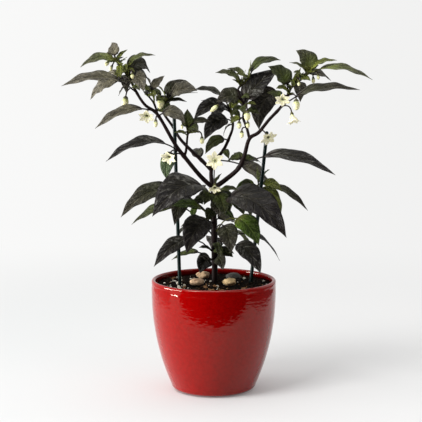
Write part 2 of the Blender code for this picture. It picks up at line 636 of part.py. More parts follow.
# ---- flower stalks, calyxes, blooms and buds ---------------------------------------------
def flower_stalk(name, stem, share, end, axis, cup_length, cup_radius):
    """Thin curved stalk that swells into the calyx, which stops square to the axis."""
    root = PATHS[stem].at(share * PATHS[stem].length)
    neck = end - axis * cup_length
    knee = neck - axis * 0.55 * (neck - root).length
    spots = []
    for t in (0.0, 0.5, 1.0):
        centre = root * (1 - t) ** 2 + knee * (2 * t * (1 - t)) + neck * t * t
        slope = (knee - root) * (1 - t) + (neck - knee) * t
        spots.append((centre, slope, FLOWER_STALK_RADIUS * (1.0 + 0.3 * t)))
    spots.append((end, axis, cup_radius))
    return ringed_solid(name, spots, 4, "leaf_purple")


def ringed_solid(name, spots, sides, finish):
    """Closed solid through regular rings, each with its own centre, axis and radius."""
    rings = []
    side = None
    for centre, axis, radius in spots:
        axis = axis.normalized()
        if side is None:
            side, _ = frame_along(axis)
        side = (side - axis * side.dot(axis)).normalized()
        up = side.cross(axis)
        ring = []
        for k in range(sides):
            angle = -2.0 * math.pi * k / sides
            ring.append(centre + radius * (math.cos(angle) * side + math.sin(angle) * up))
        rings.append(ring)
    return lofted(name, rings, finish)


def bud_solid(name, row):
    """Closed bud: an egg that starts just past its calyx."""
    _, _, end, heading, rise, radius, length = row
    axis = direction(heading, rise)
    foot = Vector(end) + axis * GAP
    sides = 6 if radius > 0.0030 else 5
    spots = [(foot + axis * length * along, axis, radius * wide) for along, wide in BUD_SHAPE]
    return ringed_solid(name, spots, sides, "petal_cream")


class BloomFrame:
    """Places points of a flower from its foot, its axis and how wide it is open."""

    def __init__(self, foot, axis, spread):
        self.foot = foot
        self.axis = axis
        self.side, self.up = frame_along(axis)
        self.opening = math.radians(spread)

    def ring_point(self, angle, radius, height):
        radial = math.cos(angle) * self.side + math.sin(angle) * self.up
        return self.foot + radial * radius + self.axis * height

    def petal_point(self, angle, out, back):
        """Point at a distance out along a petal, on its front or its back."""
        radius = BLOOM_TUBE_RADIUS + out * math.sin(self.opening) + back * math.cos(self.opening)
        height = BLOOM_TUBE_LENGTH + out * math.cos(self.opening) - back * math.sin(self.opening)
        return self.ring_point(angle, radius, height)

    def hub_ring(self, radius, height):
        angles = [2.0 * math.pi * (k + 0.5) / PETALS for k in range(PETALS)]
        return [self.ring_point(angle, radius, height) for angle in angles]


def petal_face_points(frame, reach, back):
    """Outline of all petals, then the ring where they leave the tube, on one face."""
    part = 2.0 * math.pi / PETALS
    points = []
    for k in range(PETALS):
        for turn, out in PETAL_OUTLINE:
            points.append(frame.petal_point((k + turn) * part, out * reach, back))
    for k in range(2 * PETALS):
        points.append(frame.petal_point(0.5 * k * part, 0.0, back))
    return points


def petal_faces():
    """Triangles of one face of the petals, by the order of petal_face_points."""
    around = len(PETAL_OUTLINE) * PETALS
    faces = []
    for k in range(PETALS):
        notch, right, tip, left = (4 * k + i for i in range(4))
        next_notch = (4 * k + 4) % around
        inner = around + 2 * k
        middle = inner + 1
        next_inner = around + (2 * k + 2) % (2 * PETALS)
        faces += [(inner, right, notch), (inner, middle, right), (middle, tip, right),
                  (middle, left, tip), (middle, next_inner, left), (next_inner, next_notch, left)]
    return faces


def bloom_solid(name, row):
    """Open flower in one solid: short tube, pointed petals and the cone of anthers."""
    _, _, _, end, heading, rise, size, spread = row
    axis = direction(heading, rise)
    frame = BloomFrame(Vector(end) + axis * GAP, axis, spread)
    reach = size - BLOOM_TUBE_RADIUS
    front = petal_face_points(frame, reach, 0.0)
    verts = front + petal_face_points(frame, reach, PETAL_THICKNESS)
    half = len(front)
    around = len(PETAL_OUTLINE) * PETALS
    mouth = len(verts)
    verts += frame.hub_ring(ANTHER_RADII[0], BLOOM_TUBE_LENGTH - ANTHER_DEPTH)
    verts += frame.hub_ring(ANTHER_RADII[1], BLOOM_TUBE_LENGTH + ANTHER_HEIGHT)
    foot = len(verts)
    verts += frame.hub_ring(BLOOM_FOOT_RADIUS, 0.0)

    faces = petal_faces()
    faces += [tuple(i + half for i in reversed(t)) for t in petal_faces()]
    for i in range(around):
        j = (i + 1) % around
        faces.append((j, j + half, i + half, i))
    for k in range(PETALS):
        inner = around + 2 * k
        middle = inner + 1
        next_inner = around + (2 * k + 2) % (2 * PETALS)
        next_k = (k + 1) % PETALS
        faces += [(middle, inner, mouth + k), (next_inner, middle, mouth + k),
                  (mouth + next_k, next_inner, mouth + k)]
        faces += [(foot + k, inner + half, middle + half), (foot + k, middle + half, next_inner + half),
                  (foot + k, next_inner + half, foot + next_k)]
        low, next_low = mouth + k, mouth + next_k
        faces.append((low + PETALS, next_low + PETALS, next_low, low))
    faces.append(tuple(mouth + PETALS + k for k in reversed(range(PETALS))))
    faces.append(tuple(foot + k for k in range(PETALS)))
    return new_object(name, verts, faces, "petal_cream")


# ---- leafy stems ---------------------------------------------------------------------------
def leafy_stem(name, rng):
    """A stem with its leaves, flower stalks and the stubs of its side stems, as one body."""
    parent, _, tip_radius, _ = STEMS[name]
    path = PATHS[name]
    start = 0.0 if parent is None else STUB + GAP
    step = TRUNK_STEP if parent is None else STEM_STEP
    body = stem_tube(name, path, start, path.length, stem_radius(name, start), tip_radius, step)
    others = [growing_tip(name)]
    for other, stem in STEMS.items():
        if stem[0] == name:
            others.append(stem_tube(other + "_stub", PATHS[other], 0.0, STUB, stem[1],
                                    stem_radius(other, STUB), STUB))
    for number, row in enumerate(LEAVES[name]):
        root = path.at(row[0] * path.length)
        others.append(leaf_solid(f"{name}_leaf_{number}", root, row, rng))
    for bloom, stem, share, end, heading, rise, _, _ in BLOOMS:
        if stem == name:
            others.append(flower_stalk(bloom + "_stalk", stem, share, Vector(end),
                                       direction(heading, rise), *BLOOM_CUP))
    for stem, share, end, heading, rise, radius, _ in BUDS:
        if stem == name:
            others.append(flower_stalk("bud_stalk", stem, share, Vector(end),
                                       direction(heading, rise), BUD_CUP_LENGTH,
                                       BUD_CUP_SHARE * radius))
    boolean(body, "UNION", others)
    return body


# ---- pot, soil, stakes and pebbles ------------------------------------------------------------
def wall_radius(height):
    """Outside radius of the pot at a height above its rounded foot."""
    depth = max(POT_BELLY_Z - height, 0.0) / POT_BELLY_Z
    return POT_RADIUS * (1.0 - TAPER_DEPTH * depth ** TAPER_POWER)


def pot_solid():
    foot_width = wall_radius(POT_FOOT_ROUND) - POT_FOOT_RADIUS
    profile = [(0.0, 0.0)]
    for k in range(4):
        angle = 0.5 * math.pi * k / 3
        profile.append((POT_FOOT_RADIUS + foot_width * math.sin(angle),
                        POT_FOOT_ROUND * (1.0 - math.cos(angle))))
    lip = 0.5 * POT_WALL
    lip_z = POT_HEIGHT - lip
    for k in range(1, POT_RINGS + 1):
        height = POT_FOOT_ROUND + (lip_z - POT_FOOT_ROUND) * k / POT_RINGS
        profile.append((wall_radius(height), height))
    lip_middle = wall_radius(lip_z) - lip
    for degrees in LIP_ANGLES:
        angle = math.radians(degrees)
        profile.append((lip_middle + lip * math.cos(angle), lip_z + lip * math.sin(angle)))
    for height in reversed(INNER_WALL_HEIGHTS):
        profile.append((wall_radius(height) - POT_WALL, height))
    profile.append((0.0, POT_FLOOR))
    return turned("pot", profile, POT_SEGMENTS, "glaze_red")


def soil_height(x, y):
    """Height of the rough soil surface, mounded round the trunk, level under a pebble."""
    mound = SOIL_MOUND * math.exp(-(x * x + y * y) / SOIL_MOUND_RADIUS ** 2)
    coarse, fine = SOIL_LUMPS
    rough = noise.noise(Vector((x, y, 0.0)) * coarse) + 0.5 * noise.noise(Vector((x, y, 0.3)) * fine)
    calm = 1.0
    for px, py, size, _, _ in PEBBLES:
        calm = min(calm, smoothstep(size[0] * 0.7, size[0] * 1.5, math.hypot(x - px, y - py)))
    return SOIL_Z + mound + SOIL_ROUGHNESS * rough * calm


def soil_solid(rng):
    rings = []
    for height in INNER_WALL_HEIGHTS:
        low = max(height, POT_FLOOR + GAP)
        rings.append(circle(wall_radius(height) - POT_WALL - GAP, low, POT_SEGMENTS))
    edge = wall_radius(SOIL_Z) - POT_WALL - GAP
    for k in range(SOIL_RINGS, 0, -1):
        ring = []
        for x, y, _ in circle(edge * k / SOIL_RINGS, 0.0, POT_SEGMENTS):
            ring.append((x, y, soil_height(x, y)))
        rings.append(ring)
    body = lofted("soil", rings, "soil")
    grains = [soil_grain(number, edge, rng) for number in range(GRAIN_COUNT)]
    boolean(body, "UNION", grains)
    boolean(body, "DIFFERENCE", soil_holes())
    return body


def circle(radius, height, segments):
    points = []
    for k in range(segments):
        angle = 2.0 * math.pi * k / segments
        points.append((radius * math.cos(angle), radius * math.sin(angle), height))
    return points


def soil_grain(number, edge, rng):
    """A coarse grain sunk into the soil, clear of the trunk, the stakes and the pebbles."""
    size = rng.uniform(*GRAIN_SIZES)
    while True:
        angle = rng.uniform(0.0, 2.0 * math.pi)
        reach = edge * math.sqrt(rng.uniform(0.05, 0.85))
        x, y = reach * math.cos(angle), reach * math.sin(angle)
        if all(math.hypot(x - px, y - py) > GRAIN_CLEARANCE for px, py in occupied_spots()):
            break
    mesh = bpy.data.meshes.new(f"grain_{number}")
    ball = bmesh.new()
    bmesh.ops.create_icosphere(ball, subdivisions=1, radius=size)
    for vert in ball.verts:
        vert.co *= rng.uniform(0.75, 1.2)
    bmesh.ops.translate(ball, verts=ball.verts, vec=(x, y, soil_height(x, y) + 0.25 * size))
    ball.to_mesh(mesh)
    ball.free()
    grain = bpy.data.objects.new(f"grain_{number}", mesh)
    bpy.context.scene.collection.objects.link(grain)
    return grain


def occupied_spots():
    spots = [(pebble[0], pebble[1]) for pebble in PEBBLES]
    spots += [(foot[0], foot[1]) for foot, _ in STAKES.values()]
    spots.append(tuple(STEMS["trunk"][3][0][:2]))
    return spots


def soil_holes():
    """Plain round holes for the trunk and the stakes, a gap wider than what stands in them."""
    foot = PATHS["trunk"].at(0.0)
    floor = foot - Vector((0.0, 0.0, GAP))
    top = Vector((foot.x, foot.y, HOLE_TOP_Z))
    upright = Vector((0.0, 0.0, 1.0))
    trunk_radius = (STEMS["trunk"][1] + GAP) / math.cos(math.pi / HOLE_SIDES)
    holes = [ringed_solid("trunk_hole", [(floor, upright, trunk_radius), (top, upright, trunk_radius)],
                          HOLE_SIDES, "soil")]
    radius = (STAKE_RADIUS + GAP) / math.cos(math.pi / HOLE_SIDES)
    for name, (ground, tip) in STAKES.items():
        ground, tip = Vector(ground), Vector(tip)
        axis = (tip - ground).normalized()
        low = ground - axis * (STAKE_DEPTH + GAP)
        high = ground + axis * (HOLE_TOP_Z - ground.z)
        holes.append(ringed_solid(name + "_hole", [(low, axis, radius), (high, axis, radius)],
                                  HOLE_SIDES, "soil"))
    return holes


def stake_solid(name):
    """Coated stake with a rounded top, pushed into the soil."""
    foot, top = (Vector(p) for p in STAKES[name])
    axis = (top - foot).normalized()
    spots = [(foot - axis * STAKE_DEPTH, axis, STAKE_RADIUS),
             (top - axis * STAKE_TIP, axis, STAKE_RADIUS),
             (top - axis * 0.3 * STAKE_TIP, axis, 0.8 * STAKE_RADIUS),
             (top, axis, 0.4 * STAKE_RADIUS)]
    return ringed_solid(name, spots, STAKE_SIDES, "stake_green")


def pebble_solid(number, rng):
    """Water-worn pebble with a small flat spot that it rests on."""
    x, y, size, turn, finish = PEBBLES[number - 1]
    name = f"pebble_{number}"
    ball = bmesh.new()
    bmesh.ops.create_icosphere(ball, subdivisions=2, radius=1.0)
    offset = Vector((rng.uniform(0, 9), rng.uniform(0, 9), rng.uniform(0, 9)))
    for vert in ball.verts:
        vert.co *= 1.0 + PEBBLE_DENTS * noise.noise(vert.co * 1.3 + offset)
        vert.co.z = max(vert.co.z, -PEBBLE_FLAT)
    bmesh.ops.scale(ball, verts=ball.verts, vec=size)
    bmesh.ops.rotate(ball, verts=ball.verts, matrix=Matrix.Rotation(math.radians(turn), 3, "Z"))
    rest = soil_height(x, y) + PEBBLE_LIFT + PEBBLE_FLAT * size[2]
    bmesh.ops.translate(ball, verts=ball.verts, vec=(x, y, rest))
    mesh = bpy.data.meshes.new(name)
    ball.to_mesh(mesh)
    ball.free()
    pebble = bpy.data.objects.new(name, mesh)
    bpy.context.scene.collection.objects.link(pebble)
    mesh.materials.append(finish_material(finish))
    return pebble


def shade_round(obj):
    obj.data.shade_smooth()
    obj.data.set_sharp_from_angle(angle=math.radians(SHARP_EDGE))


# ---- the whole plant ----------------------------------------------------------------------
def build_plant():
    clear_scene()
    rng = random.Random(SEED)
    pieces = [pot_solid(), soil_solid(rng)]
    pieces += [pebble_solid(number, rng) for number in range(1, len(PEBBLES) + 1)]
    pieces += [stake_solid(name) for name in STAKES]
    pieces += [leafy_stem(name, rng) for name in STEMS]
    pieces += [bloom_solid(row[0], row) for row in BLOOMS]
    pieces += [bud_solid(f"bud_{number}", row) for number, row in enumerate(BUDS, 1)]
    for piece in pieces:
        shade_round(piece)


build_plant()
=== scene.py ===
"""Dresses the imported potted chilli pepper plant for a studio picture.

Metres, +Z up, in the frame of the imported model. The stems, leaves and flowers grow by the
same values as its solids, so that each fine piece lies where its solid lies. The pot's
height and the pebbles' places and sizes are read from the frame.
"""
import math
import random

import bmesh
import bpy
import numpy as np
from mathutils import Matrix, Vector, noise


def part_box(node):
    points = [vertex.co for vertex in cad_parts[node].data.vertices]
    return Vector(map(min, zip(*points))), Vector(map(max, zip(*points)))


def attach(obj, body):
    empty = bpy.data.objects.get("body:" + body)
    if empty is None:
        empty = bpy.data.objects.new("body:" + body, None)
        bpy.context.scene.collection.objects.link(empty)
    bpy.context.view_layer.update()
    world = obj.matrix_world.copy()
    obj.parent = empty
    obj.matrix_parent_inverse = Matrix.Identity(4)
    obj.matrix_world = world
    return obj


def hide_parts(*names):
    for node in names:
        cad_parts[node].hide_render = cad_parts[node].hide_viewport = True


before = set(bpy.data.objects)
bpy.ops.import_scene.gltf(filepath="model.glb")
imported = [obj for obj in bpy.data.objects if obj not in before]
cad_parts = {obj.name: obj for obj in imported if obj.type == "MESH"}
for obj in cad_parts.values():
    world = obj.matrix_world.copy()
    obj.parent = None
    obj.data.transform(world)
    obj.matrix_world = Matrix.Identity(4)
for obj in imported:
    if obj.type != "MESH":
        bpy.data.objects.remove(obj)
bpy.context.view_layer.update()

SEED = 7
GAP = 0.0003                # between pieces that touch

# ---- pot and soil
POT_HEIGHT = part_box("pot")[1].z
POT_RADIUS = 0.0751
POT_WALL = 0.0050
POT_FLOOR = 0.010
POT_BELLY_Z = 0.125         # height where the wall is widest
POT_FOOT_RADIUS = 0.0385
POT_FOOT_ROUND = 0.0065     # height of the rounding above the foot
TAPER_DEPTH = 0.355         # how far the wall draws in at the foot, as a share of the radius
TAPER_POWER = 2.2
LIP_GROOVE_Z = 0.1285
LIP_GROOVE_WIDTH = 0.0011
LIP_GROOVE_DEPTH = 0.0003   # of a fine groove round the wall, under the lip
POT_SEGMENTS = 160
POT_RINGS = (10, 62, 14, 30)      # round the foot, up the wall, over the lip, down the inside
POT_SHARP_EDGE = 50.0       # degrees
INNER_PAINTED_SHADE = 0.20     # painted shade: brightness of the glaze inside the pot, against the outside
SOIL_Z = 0.1275             # soil level at the wall
SOIL_MOUND = 0.0025         # extra height round the trunk
SOIL_MOUND_RADIUS = 0.035
SOIL_SEGMENTS = 220
SOIL_RINGS = 70             # from the wall to the middle
SOIL_SIDE_RINGS = (POT_FLOOR + GAP, 0.035, 0.060, 0.080, 0.100, 0.112, 0.120)   # heights
SOIL_LUMPS = ((70.0, 0.0011), (210.0, 0.0008))   # lumps to a metre, and their height
SOIL_CRUMBLE = (480.0, 0.0007)                   # the same, with creases between them
PEBBLE_APRON = (0.7, 1.5)   # the soil turns rough between these shares of a pebble's half length
PEBBLE_CLEARANCE = 0.0015   # between a pebble and the loose grains
# loose grains: number, half length from and to, how flat they are
PERLITE = (90, (0.0007, 0.0029), (0.6, 1.0))
CRUMBS = (420, (0.0006, 0.0026), (0.5, 0.9))
BARK_CHIPS = (60, (0.0012, 0.0042), (0.35, 0.6))
PERLITE_HEADING = -165      # most of the perlite lies on this side of the trunk, in degrees
BARK_HEADING = -100
GRAIN_PULL = (0.6, 0.7)     # share of the grains drawn to that side, and their spread in radians
GRAIN_SINK = 0.2            # height of a grain's middle above the soil, as a share of its size
GRAIN_SIZE_POWER = 2.5      # above 1, most grains are small
GRAIN_LUMPS = (1.6, 0.35)   # how close its lumps are, and their height as a share of its size
GRAIN_FREE_MIDDLE = 0.006   # radius round the trunk without loose grains
GRAIN_FREE_RIM = 0.0020
PEBBLE_LUMPS = ((1.3, 0.20), (3.5, 0.07))   # the same for a pebble
PEBBLE_PITS = (12.0, 0.018)                 # and for the fine pits in it
STAKE_RADIUS = 0.0022
STAKE_DEPTH = 0.062         # length of a stake inside the soil
STAKE_TIP = 0.0022          # length of its rounded top
STAKE_GROOVES = 1600.0      # radians to a metre
STAKE_GROOVE_DEPTH = 0.015  # as a share of its radius
STAKE_RINGS = (160, 8)      # along the shaft and over the top

# ---- growth
STEM_SIDES = 14
STEM_STEP = 0.0016          # distance between a stem's rings of points
STEM_RIBS = 0.05            # height of its five ribs, as a share of its radius
KNOT_LENGTH = 0.0022        # how far its swelling runs
KNOT_SWELL = 0.16           # how much a stem thickens where something grows from it
BARK_LUMPS = (180.0, 0.04)  # lumps to a metre, and their height as a share of the radius
GREEN_TIP = (0.75, 0.45)    # where a stem starts to turn green, and how green its tip is
THIN_TIP = 0.002            # only stems with a thinner tip than this turn green
BLADE_HALF_THICKNESS = 0.00022
STALK_HALF_WIDTH = 0.0009
STALK_HALF_HEIGHT = 0.0008
STRAIGHT_STALK = 0.4        # share of a leaf's stalk that doesn't bend
BLADE_FOOT_POWER = 0.55     # outline of a blade: how fast it widens from its foot
BLADE_TIP_POWER = 1.15      # and how slowly it narrows to its drawn-out tip
MIDRIB_STEPS = 40
BEND_POWER = 1.6            # above 1, a leaf bends most where its blade begins
FOLD = 0.22                 # how steeply the two halves rise from the midrib
ARCH = 0.26                 # how much each half bulges between midrib and margin
WAVE_HEIGHT = 0.045         # height of the margin's waves, as a share of the blade's width
WAVE_COUNTS = (2.0, 3.0)    # waves along a margin
WAVE_SHIFT = 1.3            # by which the waves of the two margins differ, in radians
BLADE_DENTS = (5.0, 2.5, 0.022)   # along, across, and their depth as a share of the width
VEIN_PAIRS = 8.0
VEIN_SLANT = 2.3            # how far a side vein runs forward on its way out, in vein gaps
VEIN_CURVE = 0.7
VEIN_SHIFT = 0.3            # by which the veins of the two halves differ, in vein gaps
QUILT = 0.010               # depth of the veins in the blade, as a share of its width
RIB_HEIGHT = 0.0003         # of the midrib, on the underside
RIB_WIDTH = 0.0009
# leaves longer than this: points across the blade, steps along it
LEAF_DETAIL = ((0.06, 13, 40), (0.03, 13, 26), (0.0, 9, 15))
LEAF_SHADES = (0.82, 1.2)   # from the darkest leaf of a tint to its brightest
LEAF_TWIST = 9.0            # degrees
SPROUT_PLACES = (0.80, 1.0)       # shares of a stem's length
SPROUT_LENGTHS = (0.006, 0.012)
SPROUT_WIDTH = 0.42         # as a share of its length

FLOWER_STALK_RADIUS = 0.00065
BLOOM_CUP = (0.0030, 0.0019, 6)   # length, radius and teeth of the calyx under a bloom
BUD_CUP_LENGTH = 0.0024
BUD_CUP_WIDTH = 0.72        # radius of the calyx under a bud, against the bud's
BUD_CUP_TEETH = 5
BLOOM_TUBE_RADIUS = 0.0021
BLOOM_TUBE_LENGTH = 0.0022
PETALS = 6
PETAL_WIDTH = 0.34          # half width, as a share of its reach
PETAL_HALF_THICKNESS = 0.00017
PETAL_FOLD = 0.34           # how steeply its halves rise from its crease
PETAL_ARCH = 0.10
PETAL_CURLS = (10.0, 24.0)  # by which its foot is steeper than its mean and its tip flatter
# by how much petals differ: degrees of opening, share of the width, sideways bend
PETAL_VARIETY = (5.0, 0.06, 0.05)
BUD_SEAMS = 0.022           # depth of its six seams, as a share of its radius
# profiles from foot to tip: share of the length, share of the radius
CUP_PROFILE = ((0.15, 0.55), (0.35, 0.78), (0.6, 0.93), (0.85, 1.0), (1.0, 1.02))
PETAL_PROFILE = ((0.0, 0.42), (0.2, 0.72), (0.4, 0.97), (0.5, 1.0), (0.65, 0.86), (0.8, 0.56),
                 (0.92, 0.24), (1.0, 0.04))
BUD_PROFILE = ((0.0, 0.62), (0.1, 0.84), (0.28, 1.0), (0.5, 0.98), (0.7, 0.88), (0.85, 0.66),
               (0.94, 0.42), (1.0, 0.10))
ANTHER_PROFILE = ((0.0, 0.3), (0.12, 0.8), (0.4, 1.0), (0.75, 0.95), (0.93, 0.6), (1.0, 0.15))
ANTHER_RADIUS = 0.00050
ANTHER_LENGTHS = (0.0022, 0.0028)
ANTHER_LEANS = (0.02, 0.22)       # outwards for each metre up
ANTHER_PLACE = (0.0008, 0.0016)   # of its foot: away from the axis and up
ANTHER_STRAY = 0.15               # radians round the axis
# profiles along a flower's axis: height, radius
TUBE_PROFILE = ((0.0, 0.0013), (0.0008, 0.0018), (0.0018, 0.0021), (0.0024, 0.0023),
                (0.0022, 0.0014))
STYLE_PROFILE = ((0.0016, 0.00025), (0.0050, 0.00022), (0.0054, 0.00042), (0.0058, 0.0003))

# name: (parent, radius at the foot, radius at the tip, points from foot to tip)
STEMS = {
    "trunk": (None, 0.0036, 0.0033, [
        (0.001, 0.008, 0.105), (0.001, 0.008, 0.130), (0.001, 0.006, 0.169),
        (0.000, 0.003, 0.209), (0.000, 0.000, 0.247)]),
    "left_limb": ("trunk", 0.0028, 0.0012, [
        (-0.001, 0.000, 0.246), (-0.016, -0.006, 0.261), (-0.035, -0.012, 0.285),
        (-0.047, -0.015, 0.302), (-0.066, -0.018, 0.335), (-0.081, -0.020, 0.347),
        (-0.092, -0.020, 0.364), (-0.102, -0.018, 0.385), (-0.111, -0.018, 0.394),
        (-0.116, -0.018, 0.401)]),
    "centre_limb": ("trunk", 0.0026, 0.0012, [
        (-0.002, 0.003, 0.246), (-0.003, 0.010, 0.266), (0.003, 0.014, 0.279),
        (0.012, 0.018, 0.290), (0.020, 0.024, 0.307), (0.023, 0.026, 0.317),
        (0.022, 0.026, 0.329), (0.019, 0.025, 0.338)]),
    "right_limb": ("trunk", 0.0030, 0.0012, [
        (0.001, 0.000, 0.246), (0.015, -0.006, 0.257), (0.029, -0.011, 0.270),
        (0.036, -0.014, 0.285), (0.042, -0.016, 0.306), (0.053, -0.018, 0.314),
        (0.065, -0.020, 0.329), (0.078, -0.020, 0.343), (0.086, -0.020, 0.356),
        (0.091, -0.019, 0.367), (0.101, -0.018, 0.375), (0.110, -0.018, 0.383)]),
    "left_inner_limb": ("centre_limb", 0.0024, 0.0012, [
        (-0.003, 0.010, 0.266), (-0.013, 0.012, 0.276), (-0.030, 0.014, 0.292),
        (-0.041, 0.015, 0.304), (-0.050, 0.016, 0.319), (-0.060, 0.014, 0.334),
        (-0.060, 0.012, 0.343), (-0.055, 0.010, 0.352)]),
    "left_twig": ("left_limb", 0.0017, 0.0010, [
        (-0.035, -0.012, 0.285), (-0.033, -0.013, 0.291), (-0.032, -0.014, 0.300),
        (-0.031, -0.014, 0.310), (-0.029, -0.014, 0.320)]),
    "left_side_twig": ("left_limb", 0.0014, 0.0009, [
        (-0.066, -0.018, 0.335), (-0.070, -0.015, 0.347), (-0.075, -0.013, 0.354),
        (-0.080, -0.012, 0.359)]),
    "right_twig": ("right_limb", 0.0018, 0.0010, [
        (0.042, -0.016, 0.307), (0.039, -0.012, 0.319), (0.035, -0.008, 0.330),
        (0.036, -0.006, 0.341), (0.032, -0.004, 0.354), (0.029, -0.002, 0.364),
        (0.037, 0.000, 0.372), (0.044, 0.000, 0.378)]),
    "right_low_shoot": ("trunk", 0.0015, 0.0010, [
        (0.001, 0.006, 0.212), (0.020, 0.014, 0.226), (0.042, 0.019, 0.238),
        (0.057, 0.021, 0.249)]),
    "left_low_shoot": ("trunk", 0.0015, 0.0010, [
        (0.000, 0.006, 0.204), (-0.013, 0.010, 0.219), (-0.026, 0.010, 0.230),
        (-0.037, 0.006, 0.238)]),
}
